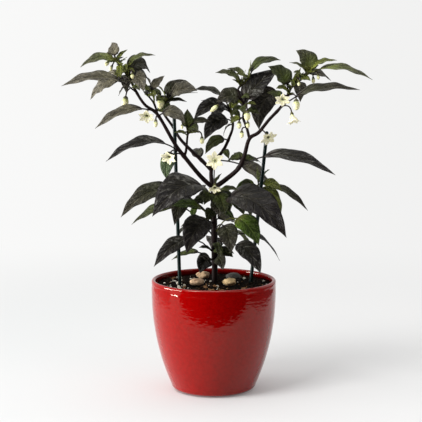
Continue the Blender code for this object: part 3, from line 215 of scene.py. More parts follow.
# Where it grows: share of the stem's length. How it grows: heading in degrees
# (0 = +X, 90 = +Y), rise at its foot and droop over its length in degrees, length,
# width, turn about the midrib (positive shows the upper face to the front), share of
# the length that is stalk, and its tint.
LEAVES = {
    "trunk": [
        (0.91, -50, 45, 50, 0.050, 0.012, 30, 0.15, "green"),
        (0.99, -25, 75, 25, 0.021, 0.010, 40, 0.15, "green"),
        (0.63, -165, 50, 75, 0.046, 0.015, 40, 0.20, "grey"),
        (0.93, -115, 20, 65, 0.031, 0.014, 30, 0.20, "green"),
        (0.95, -60, 0, 75, 0.040, 0.021, 25, 0.20, "green"),
        (0.91, -145, 40, 60, 0.025, 0.013, 35, 0.20, "green"),
        (0.86, -45, 35, 90, 0.034, 0.016, 30, 0.20, "green"),
        (0.42, -140, 50, 50, 0.028, 0.008, 30, 0.30, "green"),
        (0.91, -130, 40, 80, 0.123, 0.044, 24, 0.20, "old"),
        (0.83, -40, 35, 85, 0.128, 0.043, 30, 0.20, "dark"),
        (0.59, -42, 50, 110, 0.092, 0.027, 30, 0.50, "bright"),
        (0.68, -120, 25, 85, 0.079, 0.033, 25, 0.25, "dark"),
        (0.42, -140, 40, 85, 0.108, 0.021, 30, 0.45, "old"),
        (0.61, -65, 40, 120, 0.069, 0.024, 22, 0.45, "dusk"),
        (0.37, -35, 50, 115, 0.089, 0.025, 30, 0.45, "old"),
        (0.34, -135, 50, 130, 0.036, 0.020, 50, 0.30, "old"),
        (0.34, -65, 60, 130, 0.034, 0.016, 45, 0.30, "dusk"),
        (0.40, -30, 60, 90, 0.032, 0.009, 35, 0.30, "green"),
        (0.47, -80, 50, 105, 0.038, 0.010, 10, 0.30, "green"),
        (0.34, 165, 40, 75, 0.061, 0.011, 30, 0.40, "green"),
        (0.44, 20, 40, 100, 0.107, 0.015, 20, 0.45, "old"),
        (0.56, 160, 50, 90, 0.129, 0.019, 38, 0.50, "green"),
        (0.68, -145, 55, 60, 0.071, 0.017, 40, 0.40, "bright"),
        (0.70, 45, 25, 60, 0.041, 0.015, 40, 0.20, "grey"),
        (0.90, 125, 30, 90, 0.085, 0.027, 10, 0.30, "old"),
        (0.86, 70, 30, 90, 0.070, 0.024, 10, 0.30, "green"),
        (0.62, 150, 30, 90, 0.070, 0.023, 10, 0.30, "green"),
        (0.56, 40, 30, 90, 0.070, 0.023, 10, 0.30, "green"),
        (0.46, 90, 35, 95, 0.066, 0.022, 10, 0.35, "old"),
    ],
    "left_limb": [
        (1.00, 115, 90, 45, 0.021, 0.020, 62, 0.15, "grey"),
        (0.94, -165, 45, 80, 0.054, 0.019, 30, 0.20, "tip"),
        (0.75, -160, 40, 60, 0.098, 0.025, 20, 0.24, "grey"),
        (0.84, 160, 12, 65, 0.062, 0.028, 45, 0.20, "grey"),
        (0.98, 10, 70, 40, 0.019, 0.007, 30, 0.10, "young"),
        (0.95, -25, 65, 35, 0.014, 0.005, 30, 0.10, "young"),
        (0.95, -85, -5, 65, 0.023, 0.009, 10, 0.10, "young"),
        (0.92, -120, 10, 80, 0.020, 0.008, 20, 0.10, "young"),
        (0.83, 140, -20, 35, 0.028, 0.012, 30, 0.15, "grey"),
        (0.88, -5, 85, 90, 0.045, 0.015, 25, 0.20, "tip"),
        (0.89, -15, 85, 25, 0.018, 0.006, 40, 0.10, "young"),
        (0.86, 50, 85, 135, 0.050, 0.020, 60, 0.15, "dusk"),
        (0.83, 55, 50, 115, 0.053, 0.018, 40, 0.15, "dusk"),
        (0.82, -55, 60, 135, 0.037, 0.018, 45, 0.15, "grey"),
        (0.60, -155, 15, 50, 0.080, 0.022, 20, 0.20, "grey"),
        (0.56, -20, 40, 90, 0.039, 0.020, 35, 0.15, "grey"),
        (0.27, -160, 40, 75, 0.107, 0.026, 18, 0.27, "old"),
        (0.28, -140, 20, 125, 0.050, 0.017, 50, 0.30, "sage"),
        (0.85, 100, 20, 80, 0.050, 0.019, 10, 0.20, "dusk"),
    ],
    "left_inner_limb": [
        (0.98, 25, 80, 65, 0.037, 0.017, 40, 0.15, "dusk"),
        (1.00, -25, 50, 60, 0.043, 0.026, 38, 0.15, "grey"),
        (0.93, -10, 45, 45, 0.044, 0.012, 0, 0.15, "green"),
        (0.91, -25, 45, 60, 0.033, 0.009, 30, 0.15, "dusk"),
        (0.88, -5, 60, 120, 0.014, 0.008, 40, 0.15, "grey"),
        (0.93, 145, 60, 55, 0.044, 0.011, 15, 0.25, "green"),
        (0.97, -145, 80, 50, 0.028, 0.008, 30, 0.20, "young"),
        (0.15, 110, 40, 40, 0.036, 0.015, 30, 0.15, "dusk"),
        (0.97, 95, 30, 90, 0.052, 0.022, 10, 0.20, "old"),
    ],
    "left_twig": [
        (0.82, 100, 78, 0, 0.028, 0.015, 10, 0.20, "green"),
        (1.00, 15, 50, 70, 0.030, 0.012, 30, 0.20, "dusk"),
        (0.79, -140, 75, 25, 0.019, 0.006, 40, 0.15, "young"),
    ],
    "centre_limb": [
        (1.00, -150, 65, 65, 0.059, 0.020, 25, 0.20, "dusk"),
        (0.97, -170, 55, 60, 0.041, 0.009, 15, 0.20, "old"),
        (0.97, -140, 40, 80, 0.064, 0.021, 35, 0.20, "old"),
        (0.85, -140, 25, 85, 0.055, 0.023, 40, 0.18, "old"),
        (0.82, 145, -10, 65, 0.022, 0.009, 30, 0.20, "old"),
        (0.95, -150, 40, 75, 0.032, 0.013, 20, 0.20, "old"),
        (0.99, 25, 70, 65, 0.015, 0.009, 40, 0.15, "young"),
        (0.94, -30, 40, 105, 0.015, 0.010, 30, 0.15, "green"),
        (0.62, -155, 20, 80, 0.038, 0.016, 40, 0.15, "green"),
        (0.49, -65, 0, 55, 0.019, 0.008, 40, 0.15, "green"),
        (0.34, 30, -8, 30, 0.088, 0.030, 45, 0.40, "grey"),
        (0.97, 115, 30, 90, 0.055, 0.021, 10, 0.20, "dusk"),
    ],
    "right_limb": [
        (1.00, 165, 115, 90, 0.035, 0.024, 50, 0.15, "tip"),
        (0.99, 170, 75, 70, 0.027, 0.009, 20, 0.20, "tip"),
        (1.00, -10, 60, 60, 0.040, 0.015, 25, 0.15, "young"),
        (1.00, -15, 24, 50, 0.080, 0.021, 18, 0.20, "tip"),
        (0.98, 35, 25, 60, 0.042, 0.014, 40, 0.15, "grey"),
        (0.68, -20, 42, 48, 0.108, 0.025, 24, 0.27, "dusk"),
        (0.84, 15, 55, -15, 0.030, 0.010, 30, 0.20, "young"),
        (0.80, -175, 95, 70, 0.046, 0.027, 45, 0.30, "green"),
        (0.87, 65, 20, 55, 0.027, 0.011, 40, 0.15, "grey"),
        # painted shade: this leaf shows its underside, and the dark tint paints it as lying in shade
        (0.80, 145, 20, 115, 0.072, 0.030, -50, 0.20, "dark"),
        (0.22, -20, 30, 58, 0.126, 0.026, 22, 0.28, "old"),
        (0.27, 150, 45, 85, 0.024, 0.013, 35, 0.15, "green"),
        (0.28, 125, 35, 25, 0.020, 0.010, 40, 0.15, "green"),
        (0.26, 35, 35, 65, 0.030, 0.013, 35, 0.15, "green"),
        (0.91, 80, 5, 70, 0.048, 0.018, 10, 0.20, "dusk"),
    ],
    "left_side_twig": [
        (0.90, 10, 60, 20, 0.031, 0.013, 40, 0.30, "grey"),
        (0.96, -135, 80, 60, 0.017, 0.010, 40, 0.15, "green"),
        (0.99, -15, 60, 95, 0.016, 0.009, 30, 0.15, "green"),
        (0.43, -155, 85, 25, 0.021, 0.008, 40, 0.20, "young"),
    ],
    "right_twig": [
        (0.98, -10, 80, 85, 0.048, 0.020, 28, 0.15, "green"),
        (0.90, -30, 55, -35, 0.027, 0.009, 40, 0.20, "young"),
        (0.89, 170, 80, 80, 0.030, 0.012, 28, 0.30, "tip"),
        (0.80, -170, 75, 80, 0.038, 0.017, 26, 0.15, "tip"),
        (0.84, -45, 75, 0, 0.018, 0.006, 40, 0.15, "young"),
        (0.51, 5, 65, 35, 0.060, 0.029, 58, 0.12, "old"),
        (0.56, -165, 45, 80, 0.035, 0.024, 50, 0.15, "dusk"),
        (0.46, -45, 55, 70, 0.022, 0.008, 30, 0.15, "young"),
        (0.51, -155, 45, 70, 0.021, 0.009, 35, 0.15, "young"),
        (0.43, -160, 45, 105, 0.020, 0.009, 35, 0.15, "green"),
        (0.62, 85, 30, 90, 0.058, 0.022, 10, 0.20, "old"),
        (0.96, 70, 30, 80, 0.042, 0.015, 10, 0.20, "green"),
    ],
    "right_low_shoot": [
        (0.97, -15, 0, 48, 0.070, 0.013, 25, 0.25, "dusk"),
        (0.91, -20, -10, 65, 0.050, 0.018, 30, 0.15, "young"),
        (0.88, -150, 50, 65, 0.023, 0.013, 35, 0.15, "green"),
        (0.95, -110, 65, -20, 0.024, 0.013, 50, 0.15, "green"),
        (0.97, -30, 25, 65, 0.034, 0.014, 35, 0.15, "young"),
        (0.61, -100, 10, 70, 0.028, 0.012, 30, 0.15, "bright"),
        (0.54, -60, 15, 90, 0.040, 0.014, 30, 0.20, "green"),
        (0.40, -60, 20, 80, 0.034, 0.016, 25, 0.20, "green"),
    ],
    "left_low_shoot": [
        (0.97, -165, 25, 75, 0.090, 0.027, 40, 0.20, "dusk"),
        (0.81, -115, 10, 80, 0.055, 0.020, 35, 0.25, "dusk"),
        (0.48, -175, -10, 100, 0.021, 0.010, 40, 0.20, "bright"),
        (0.80, 110, 15, 80, 0.050, 0.018, 10, 0.20, "grey"),
    ],
}
# Small leaves between the ones above, too fine for the solids.
EXTRA_LEAVES = {
    "trunk": [
        (0.62, 170, 30, 80, 0.042, 0.019, 35, 0.20, "grey"),
        (0.47, -60, 20, 70, 0.020, 0.013, 45, 0.20, "green"),
        (0.44, -20, 20, 60, 0.026, 0.013, 45, 0.25, "green"),
        (0.83, -30, 0, 50, 0.036, 0.009, 40, 0.20, "bright"),
        (0.90, -160, 20, 60, 0.030, 0.015, 35, 0.15, "green"),
        (0.88, -70, 10, 80, 0.030, 0.017, 30, 0.15, "dusk"),
        (0.80, -110, 10, 60, 0.028, 0.014, 30, 0.15, "green"),
        (0.95, -20, 20, 60, 0.030, 0.012, 30, 0.15, "green"),
    ],
    "left_limb": [
        (0.97, 175, 30, 60, 0.016, 0.007, 30, 0.15, "young"),
        (0.94, -100, 40, 40, 0.019, 0.008, 20, 0.15, "young"),
        (0.90, -160, -15, 30, 0.015, 0.006, 20, 0.15, "young"),
        (0.91, -40, 20, 50, 0.017, 0.007, 25, 0.15, "young"),
        (0.90, -100, 30, 60, 0.016, 0.009, 30, 0.15, "young"),
        (0.93, -60, 40, 90, 0.014, 0.008, 30, 0.15, "young"),
        (0.88, -150, 40, 80, 0.020, 0.010, 30, 0.20, "young"),
        (0.97, -170, 50, 80, 0.014, 0.007, 30, 0.15, "young"),
        (0.78, -30, 45, 80, 0.022, 0.012, 35, 0.15, "young"),
        (0.80, -60, 20, 60, 0.018, 0.010, 35, 0.15, "tip"),
    ],
    "left_side_twig": [
        (0.85, -60, 40, 60, 0.020, 0.011, 35, 0.20, "young"),
        (0.95, 60, 60, 80, 0.022, 0.012, 35, 0.20, "tip"),
    ],
    "left_inner_limb": [
        (0.90, -70, 20, 70, 0.022, 0.012, 35, 0.20, "green"),
        (0.96, -120, 45, 70, 0.024, 0.011, 35, 0.20, "young"),
    ],
    "left_twig": [
        (0.95, -60, 30, 60, 0.024, 0.012, 35, 0.15, "green"),
        (0.70, -160, 50, 60, 0.018, 0.008, 30, 0.20, "young"),
        (0.75, 20, 40, 60, 0.016, 0.007, 30, 0.20, "young"),
    ],
    "left_low_shoot": [
        (0.95, 170, 20, 55, 0.055, 0.015, 35, 0.25, "bright"),
        (0.70, -60, 30, 60, 0.026, 0.012, 35, 0.20, "bright"),
    ],
    "right_limb": [
        (0.93, -40, 50, 80, 0.018, 0.009, 35, 0.15, "young"),
        (0.96, -140, 60, 60, 0.018, 0.009, 35, 0.15, "young"),
        (0.88, -100, 50, 60, 0.016, 0.009, 35, 0.15, "young"),
        (0.98, 20, 70, 60, 0.022, 0.010, 35, 0.15, "young"),
        (0.83, -150, 50, 60, 0.020, 0.011, 35, 0.15, "young"),
        (0.76, 160, 60, 60, 0.026, 0.012, 35, 0.20, "green"),
    ],
    "right_twig": [
        (0.80, -150, 60, 40, 0.014, 0.007, 35, 0.15, "young"),
        (0.95, -150, 50, 50, 0.020, 0.009, 35, 0.15, "young"),
        (0.40, -30, 30, 60, 0.022, 0.011, 35, 0.20, "green"),
        (0.48, -90, 20, 70, 0.024, 0.012, 35, 0.20, "green"),
        (0.60, -60, 40, 60, 0.020, 0.010, 35, 0.20, "green"),
        (0.30, -150, 20, 60, 0.020, 0.010, 35, 0.20, "young"),
    ],
    "right_low_shoot": [
        (0.60, -60, -10, 60, 0.022, 0.011, 40, 0.15, "bright"),
        (0.92, -160, 30, 60, 0.030, 0.013, 40, 0.15, "bright"),
        (0.98, -60, 65, 40, 0.030, 0.012, 35, 0.15, "bright"),
        (1.00, -20, 0, 30, 0.028, 0.009, 45, 0.15, "bright"),
    ],
}
# Where the stalk grows (stem, share), the point where the calyx ends (x, y, z), and the
# heading and rise of the axis that points out of the mouth. Then a bloom has its reach
# from the axis to a petal's tip and the angle that its petals open to, and a bud its
# radius and length.
BLOOMS = [
    ("bloom_left_outer", "left_limb", 0.60, (-0.078, -0.031, 0.337), -95, -40, 0.0115, 66),
    ("bloom_left_low", "left_limb", 0.28, (-0.052, -0.036, 0.289), -105, -32, 0.0112, 66),
    ("bloom_centre", "trunk", 0.99, (0.001, -0.010, 0.280), -90, 2, 0.0118, 84),
    ("bloom_fork", "trunk", 0.99, (0.001, -0.018, 0.251), -90, -50, 0.0100, 58),
    ("bloom_right_upper", "right_limb", 0.79, (0.080, -0.034, 0.356), -92, -35, 0.0105, 72),
    ("bloom_right_bell", "right_limb", 0.72, (0.091, -0.036, 0.337), -60, -70, 0.0130, 36),
    ("bloom_right_low", "right_limb", 0.51, (0.062, -0.036, 0.312), -60, -38, 0.0118, 70),
]
BUDS = [
    ("left_limb", 0.79, (-0.104, -0.010, 0.354), -170, -84, 0.0040, 0.0120),
    ("left_inner_limb", 0.94, (-0.063, 0.002, 0.351), -150, -86, 0.0042, 0.0105),
    ("left_limb", 0.56, (-0.068, -0.027, 0.328), -120, -85, 0.0026, 0.0068),
    ("left_limb", 0.86, (-0.095, -0.031, 0.383), -60, -80, 0.0022, 0.0050),
    ("left_twig", 0.85, (-0.014, -0.016, 0.307), -60, -86, 0.0027, 0.0066),
    ("left_twig", 0.79, (-0.037, -0.024, 0.323), -150, -80, 0.0016, 0.0042),
    ("left_limb", 0.99, (-0.124, -0.012, 0.397), -170, -55, 0.0024, 0.0058),
    ("left_limb", 0.98, (-0.120, -0.010, 0.391), -160, -65, 0.0020, 0.0050),
    ("right_limb", 0.80, (0.096, -0.033, 0.352), -60, -86, 0.0041, 0.0105),
    ("right_limb", 0.89, (0.099, -0.028, 0.374), -60, -80, 0.0018, 0.0048),
    ("right_limb", 0.99, (0.117, -0.012, 0.377), -60, -84, 0.0022, 0.0056),
    ("right_limb", 1.00, (0.122, -0.022, 0.381), -45, -80, 0.0018, 0.0045),
    ("right_twig", 0.43, (0.039, -0.030, 0.338), -70, -86, 0.0039, 0.0088),
    ("right_twig", 0.31, (0.030, -0.016, 0.325), -120, -86, 0.0029, 0.0066),
    ("right_twig", 0.28, (0.040, -0.020, 0.325), -60, -86, 0.0024, 0.0054),
    ("right_twig", 0.16, (0.033, -0.018, 0.314), -120, -86, 0.0026, 0.0062),
    ("centre_limb", 0.99, (0.004, -0.012, 0.345), -165, -40, 0.0026, 0.0105),
]
# Stakes: point at soil level and top, both (x, y, z).
STAKES = {
    "stake_left": ((-0.0410, 0.0000, 0.1275), (-0.0475, 0.0000, 0.3440)),
    "stake_right": ((0.0450, 0.0130, 0.1275), (0.0636, 0.0050, 0.3135)),
}
# number of tiny leaves in the axils near the end of a stem
SPROUTS = {"left_limb": 18, "right_limb": 16, "left_twig": 6, "right_twig": 12, "centre_limb": 5,
           "left_inner_limb": 8, "left_side_twig": 5}

# ---- colours
# tint: colour at the blade's foot, at its tip and of its underside, how much the veins
# show, and how bright the painted highlights on its pucker tops are
TINTS = {
    "old": ((0.017, 0.016, 0.011), (0.013, 0.011, 0.011), (0.065, 0.058, 0.050), 0.45, 0.110),
    "dark": ((0.010, 0.009, 0.006), (0.007, 0.005, 0.005), (0.040, 0.036, 0.030), 0.42, 0.030),
    "tip": ((0.100, 0.122, 0.025), (0.056, 0.057, 0.031), (0.110, 0.115, 0.055), 0.45, 0.035),
    "dusk": ((0.034, 0.036, 0.016), (0.024, 0.021, 0.015), (0.080, 0.074, 0.055), 0.38, 0.050),
    # painted light: the grey tint is partly the outer leaves' own grey-brown and partly painted backlight
    # and sheen
    "grey": ((0.110, 0.100, 0.064), (0.084, 0.076, 0.058), (0.130, 0.115, 0.092), 0.42, 0.060),
    "sage": ((0.080, 0.115, 0.055), (0.070, 0.100, 0.050), (0.130, 0.160, 0.095), 0.60, 0.070),
    "green": ((0.046, 0.062, 0.010), (0.026, 0.030, 0.010), (0.088, 0.104, 0.034), 0.55, 0.018),
    "young": ((0.190, 0.220, 0.034), (0.095, 0.105, 0.028), (0.150, 0.180, 0.045), 0.50, 0.020),
    "bright": ((0.046, 0.078, 0.006), (0.028, 0.050, 0.005), (0.095, 0.155, 0.020), 1.00, 0.020),
}
YOUNG_TINTS = ("young", "bright", "tip")   # their stalks are green
STALK_TONE = (0.015, 0.009, 0.008)
YOUNG_STALK_TONE = (0.110, 0.115, 0.026)
BARK_TONE = (0.009, 0.0045, 0.0042)
CALYX_TONE = (0.070, 0.065, 0.026)
PETAL_TONE = (0.88, 0.83, 0.60)
PETAL_FOOT_TONE = (0.66, 0.66, 0.36)
BUD_TONE = (0.74, 0.70, 0.40)
BUD_FOOT_TONE = (0.46, 0.50, 0.20)
ANTHER_TONE = (0.085, 0.075, 0.040)
POLLEN_TONE = (0.16, 0.14, 0.07)
STYLE_TONE = (0.55, 0.58, 0.30)
GLAZE_TONES = ((0.225, 0.0005, 0.0005), (0.185, 0.0004, 0.0004))
GLAZE_SHEEN_TONE = (1.0, 0.90, 0.76)
SOIL_TONES = ((0.0015, 0.001, 0.0008), (0.006, 0.0035, 0.0025))
FIBRE_TONE = (0.050, 0.026, 0.014)
PERLITE_TONES = ((0.78, 0.71, 0.56), (0.95, 0.92, 0.80))
CRUMB_TONES = ((0.004, 0.0025, 0.0015), (0.030, 0.017, 0.009))
BARK_CHIP_TONES = ((0.10, 0.040, 0.016), (0.34, 0.19, 0.09))
STAKE_TONES = ((0.0015, 0.005, 0.0045), (0.003, 0.016, 0.013))
# pebble: its colour and that of its stain
PEBBLES = {
    "pebble_1": ((0.40, 0.27, 0.15), (0.17, 0.065, 0.030)),
    "pebble_2": ((0.42, 0.28, 0.17), (0.20, 0.100, 0.050)),
    "pebble_3": ((0.38, 0.27, 0.13), (0.24, 0.14, 0.065)),
    "pebble_4": ((0.075, 0.070, 0.060), (0.035, 0.034, 0.030)),
}

# ---- stage
CAMERA_SPOT = (-0.0033, -1.75, 0.47)
CAMERA_TILT = 8.2           # degrees below the horizon
CAMERA_LENS = 125.66
SENSOR = 36.0
BACKDROP_LEFT = (0.945, 0.945, 0.940)
BACKDROP_RIGHT = (0.885, 0.885, 0.880)
BACKDROP_SLANT = 0.16       # metres sideways for each metre away, where it has reached them
FLOOR_HALF = 30.0           # half its width
FLOOR_ALBEDO = (0.68, 0.79)   # from the left, where the window lights it most, to the right
FLOOR_RED = (0.985, 1.0)      # the same for its red, against its green and blue
FLOOR_GLOW = 0.12           # share of the floor's brightness that no shadow takes away
FLOOR_BLEND = (0.35, 1.1)   # distances from the plant between which it turns into the backdrop
TABLE_HALF_WIDTH = 0.49     # edges of the lit table that the glaze mirrors
TABLE_FRONT = -0.27
FAR = 5.0
# cards that only the glaze mirrors: corners (x, y), brightness, height
CARDS = {
    "room_front": (((-FAR, -FAR), (FAR, -FAR), (FAR, TABLE_FRONT - 0.35), (TABLE_HALF_WIDTH, TABLE_FRONT),
                    (-TABLE_HALF_WIDTH, TABLE_FRONT), (-FAR, TABLE_FRONT - 1.9)), 0.01, 0.004),
    "room_left": (((-FAR, -0.55), (-TABLE_HALF_WIDTH, -0.06), (-TABLE_HALF_WIDTH, 1.5), (-FAR, 1.5)),
                  0.42, 0.004),
    "softbox": (((-0.8, -1.0), (0.5, -1.0), (0.5, 1.0), (-0.8, 1.0)), 4.0, 1.8),
    "room_right": (((TABLE_HALF_WIDTH, TABLE_FRONT), (FAR, TABLE_FRONT - 0.35), (FAR, 1.5),
                    (TABLE_HALF_WIDTH, 1.5)), 0.12, 0.004),
}
# lamps: place, point that it faces, width and height, watts
LAMPS = {
    "window": ((-4.6, -0.8, 0.30), (0.0, 0.0, 0.20), (3.6, 0.56), 450.0),
    "key": ((-1.25, -1.2, 2.1), (0.0, 0.0, 0.15), (1.0, 1.0), 42.0),
    "overhead": ((-0.2, 0.2, 2.1), (0.0, 0.0, 0.2), (2.0, 2.0), 6.0),
    "fill_right": ((1.3, -1.2, 0.9), (0.0, 0.0, 0.0), (1.2, 1.0), 4.0),
}
# brightness of the room around, by a direction's share along an axis: from, to, level at both
ROOM_FRONT = (-0.7, 0.0, 0.05, 1.0)       # along y
ROOM_SIDES = (-0.6, 0.7, 0.60, 0.16)      # along x
ROOM_BACK = (-0.10, 0.25, 0.0, 0.80)      # along y
ROOM_TOP = (0.25, 0.9, 0.0, 0.60)         # along z


# ---- small helpers
def smoothstep(low, high, value):
    t = min(max((value - low) / (high - low), 0.0), 1.0)
    return t * t * (3.0 - 2.0 * t)


def evenly(low, high, count):
    """Evenly spaced numbers from low to high."""
    return [low + (high - low) * i / (count - 1) for i in range(count)]


def between(value, shares, levels):
    """Level at a value, read from a broken line."""
    return float(np.interp(value, shares, levels))


def blend(a, b, share):
    """Colour on the way from a to b."""
    return [x + (y - x) * share for x, y in zip(a, b)]


def direction(heading, rise):
    """Unit vector for a compass heading and a rise above the horizon, in degrees."""
    level = math.cos(math.radians(rise))
    return Vector((level * math.cos(math.radians(heading)),
                   level * math.sin(math.radians(heading)),
                   math.sin(math.radians(rise))))


def frame_along(axis):
    """Two unit vectors square to an axis, the first of them level."""
    axis = axis.normalized()
    side = axis.cross(Vector((0.0, 0.0, 1.0)))
    if side.length < 0.05:
        side = Vector((1.0, 0.0, 0.0))
    side.normalize()
    return side, side.cross(axis)


def level_ring(radius, height, count):
    """Points of a level circle round the pot's axis."""
    angles = [2.0 * math.pi * k / count for k in range(count)]
    return [(radius * math.cos(a), radius * math.sin(a), height) for a in angles]


def random_point(rng, reach):
    return Vector((rng.uniform(0, reach), rng.uniform(0, reach), rng.uniform(0, reach)))


def add_object(name, data):
    """Object in the scene, with a mesh, a light or a camera as its data."""
    obj = bpy.data.objects.new(name, data)
    bpy.context.scene.collection.objects.link(obj)
    return obj


def mesh_object(name, mesh, *materials):
    for material in materials:
        mesh.materials.append(material)
    mesh.shade_smooth()
    return add_object(name, mesh)


def grown_object(name, bm, material):
    """Object from an edited mesh, which it uses up."""
    mesh = bpy.data.meshes.new(name)
    bm.to_mesh(mesh)
    bm.free()
    return mesh_object(name, mesh, material)


def flat_mesh(name, corners, height):
    """Level sheet with the given (x, y) corners."""
    mesh = bpy.data.meshes.new(name)
    mesh.from_pydata([(x, y, height) for x, y in corners], [], [tuple(range(len(corners)))])
    return mesh


def settle(piece, slot, *nodes):
    """The piece rides with the plant and stands for its CAD nodes, which it hides; slot is not used."""
    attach(piece, "root")
    if nodes:
        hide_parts(*nodes)
    return piece


class Batch:
    """Collects closed lofts for one object, each point with a colour and two sets of coordinates.

    tone is the colour, and slot is the place of a loft's material in build's list. blade
    holds the share along a blade, the share across it and how much its veins show. reach
    holds the distance along a stem, or how bright a blade's painted highlights are, then
    the distance across, and 1 on the underside of a blade.
    """

    def __init__(self):
        self.verts = []
        self.faces = []
        self.slots = []
        self.tone = []
        self.blade = []
        self.reach = []

    def loft(self, rings, tone, slot=0, blade=None, reach=None, turn_over=False):
        """Closed solid through rings of points, capped at both ends."""
        rings = np.asarray(rings, float)
        rows, count, _ = rings.shape
        base = len(self.verts)
        self.verts.extend(map(tuple, rings.reshape(-1, 3)))
        flat = rows * count
        self.tone.extend(map(tuple, np.broadcast_to(tone, (rows, count, 3)).reshape(flat, 3)))
        for store, values in ((self.blade, blade), (self.reach, reach)):
            values = np.zeros((flat, 3)) if values is None else np.asarray(values).reshape(flat, 3)
            store.extend(map(tuple, values))
        faces = []
        for i in range(rows - 1):
            for k in range(count):
                a = base + i * count + k
                b = base + i * count + (k + 1) % count
                faces.append((a, b, b + count, a + count))
        faces.append(tuple(range(base + count - 1, base - 1, -1)))
        last = base + (rows - 1) * count
        faces.append(tuple(range(last, last + count)))
        if turn_over:
            faces = [tuple(reversed(face)) for face in faces]
        self.faces.extend(faces)
        self.slots.extend([slot] * len(faces))

    def build(self, name, *materials):
        mesh = bpy.data.meshes.new(name)
        mesh.from_pydata(self.verts, [], self.faces)
        obj = mesh_object(name, mesh, *materials)
        mesh.polygons.foreach_set("material_index", self.slots)
        tone = mesh.attributes.new("tone", "FLOAT_COLOR", "POINT")
        rgba = np.concatenate([np.array(self.tone), np.ones((len(self.tone), 1))], axis=1)
        tone.data.foreach_set("color", rgba.ravel())
        for label, values in (("blade", self.blade), ("reach", self.reach)):
            layer = mesh.attributes.new(label, "FLOAT_VECTOR", "POINT")
            layer.data.foreach_set("vector", np.array(values).ravel())
        mesh.update()
        return obj


# ---- shader helpers
class Nodes:
    """Adds nodes to a node tree. A value that is another node's socket is linked."""

    def __init__(self, tree):
        self.tree = tree

    def feed(self, socket, value):
        if isinstance(value, bpy.types.NodeSocket):
            self.tree.links.new(value, socket)
        elif isinstance(value, tuple) and len(value) == 3 and socket.type == "RGBA":
            socket.default_value = (*value, 1.0)
        else:
            socket.default_value = value

    def node(self, kind, values=None, **settings):
        made = self.tree.nodes.new("ShaderNode" + kind)
        for key, value in settings.items():
            setattr(made, key, value)
        for key, value in (values or {}).items():
            self.feed(made.inputs[key], value)
        return made

    def math(self, operation, a, b=0.0):
        return self.node("Math", {0: a, 1: b}, operation=operation).outputs[0]

    def plus(self, a, b):
        return self.math("ADD", a, b)

    def minus(self, a, b):
        return self.math("SUBTRACT", a, b)

    def times(self, a, b):
        return self.math("MULTIPLY", a, b)

    def size_of(self, value):
        return self.math("ABSOLUTE", value)

    def step(self, value, low, high, from_value=0.0, to_value=1.0):
        made = self.node("MapRange", {"Value": value, "From Min": low, "From Max": high,
                                      "To Min": from_value, "To Max": to_value},
                         interpolation_type="SMOOTHSTEP")
        return made.outputs["Result"]

    def mix(self, share, a, b, blend_type="MIX"):
        """Colour between a and b. The colour sockets of a Mix node are its inputs 6 and 7."""
        made = self.node("Mix", data_type="RGBA", blend_type=blend_type)
        self.feed(made.inputs["Factor"], share)
        self.feed(made.inputs[6], a)
        self.feed(made.inputs[7], b)
        return made.outputs[2]

    def scaled(self, colour, factor):
        """Colour times a level, or times another colour."""
        if not isinstance(factor, tuple) and factor.type == "VALUE":
            factor = self.join(factor, factor, factor)
        return self.mix(1.0, colour, factor, "MULTIPLY")

    def added(self, colour, other):
        return self.mix(1.0, colour, other, "ADD")

    def attribute(self, name, output="Vector"):
        return self.node("Attribute", attribute_name=name, attribute_type="GEOMETRY").outputs[output]

    def tone(self):
        return self.attribute("tone", "Color")

    def split(self, vector):
        return tuple(self.node("SeparateXYZ", {0: vector}).outputs)

    def join(self, x, y, z):
        return self.node("CombineXYZ", {0: x, 1: y, 2: z}).outputs[0]

    def here(self):
        return self.node("TexCoord").outputs["Object"]

    def noise(self, scale, detail, roughness=0.5, vector=None, distortion=0.0):
        made = self.node("TexNoise", {"Vector": vector or self.here(), "Scale": scale, "Detail": detail,
                                      "Roughness": roughness, "Distortion": distortion})
        return made.outputs["Fac"]


class Shader(Nodes):
    """Nodes of a new material."""

    def __init__(self, name):
        self.material = bpy.data.materials.new(name)
        self.material.use_nodes = True
        super().__init__(self.material.node_tree)

    def set(self, **values):
        """Sets the material's Principled surface."""
        surface = self.tree.nodes["Principled BSDF"]
        for key, value in values.items():
            self.feed(surface.inputs[key.replace("_", " ")], value)

    def bump(self, height, distance, strength=1.0):
        values = {"Height": height, "Distance": distance, "Strength": strength}
        self.set(Normal=self.node("Bump", values).outputs["Normal"])

    def cover(self, colour, pattern, roughness, bump=None, specular=0.5):
        """Colour, shine and roughness, with a relief that follows the same pattern.

        roughness holds its values at the pattern's low and high end, and bump the relief's
        depth and strength.
        """
        self.set(Base_Color=colour, Specular_IOR_Level=specular)
        self.set(Roughness=self.step(pattern, 0.2, 0.8, *roughness))
        if bump:
            self.bump(pattern, *bump)

    def show(self, node):
        """Shows a node's shader instead of the Principled surface."""
        self.feed(self.tree.nodes["Material Output"].inputs["Surface"], node.outputs[0])


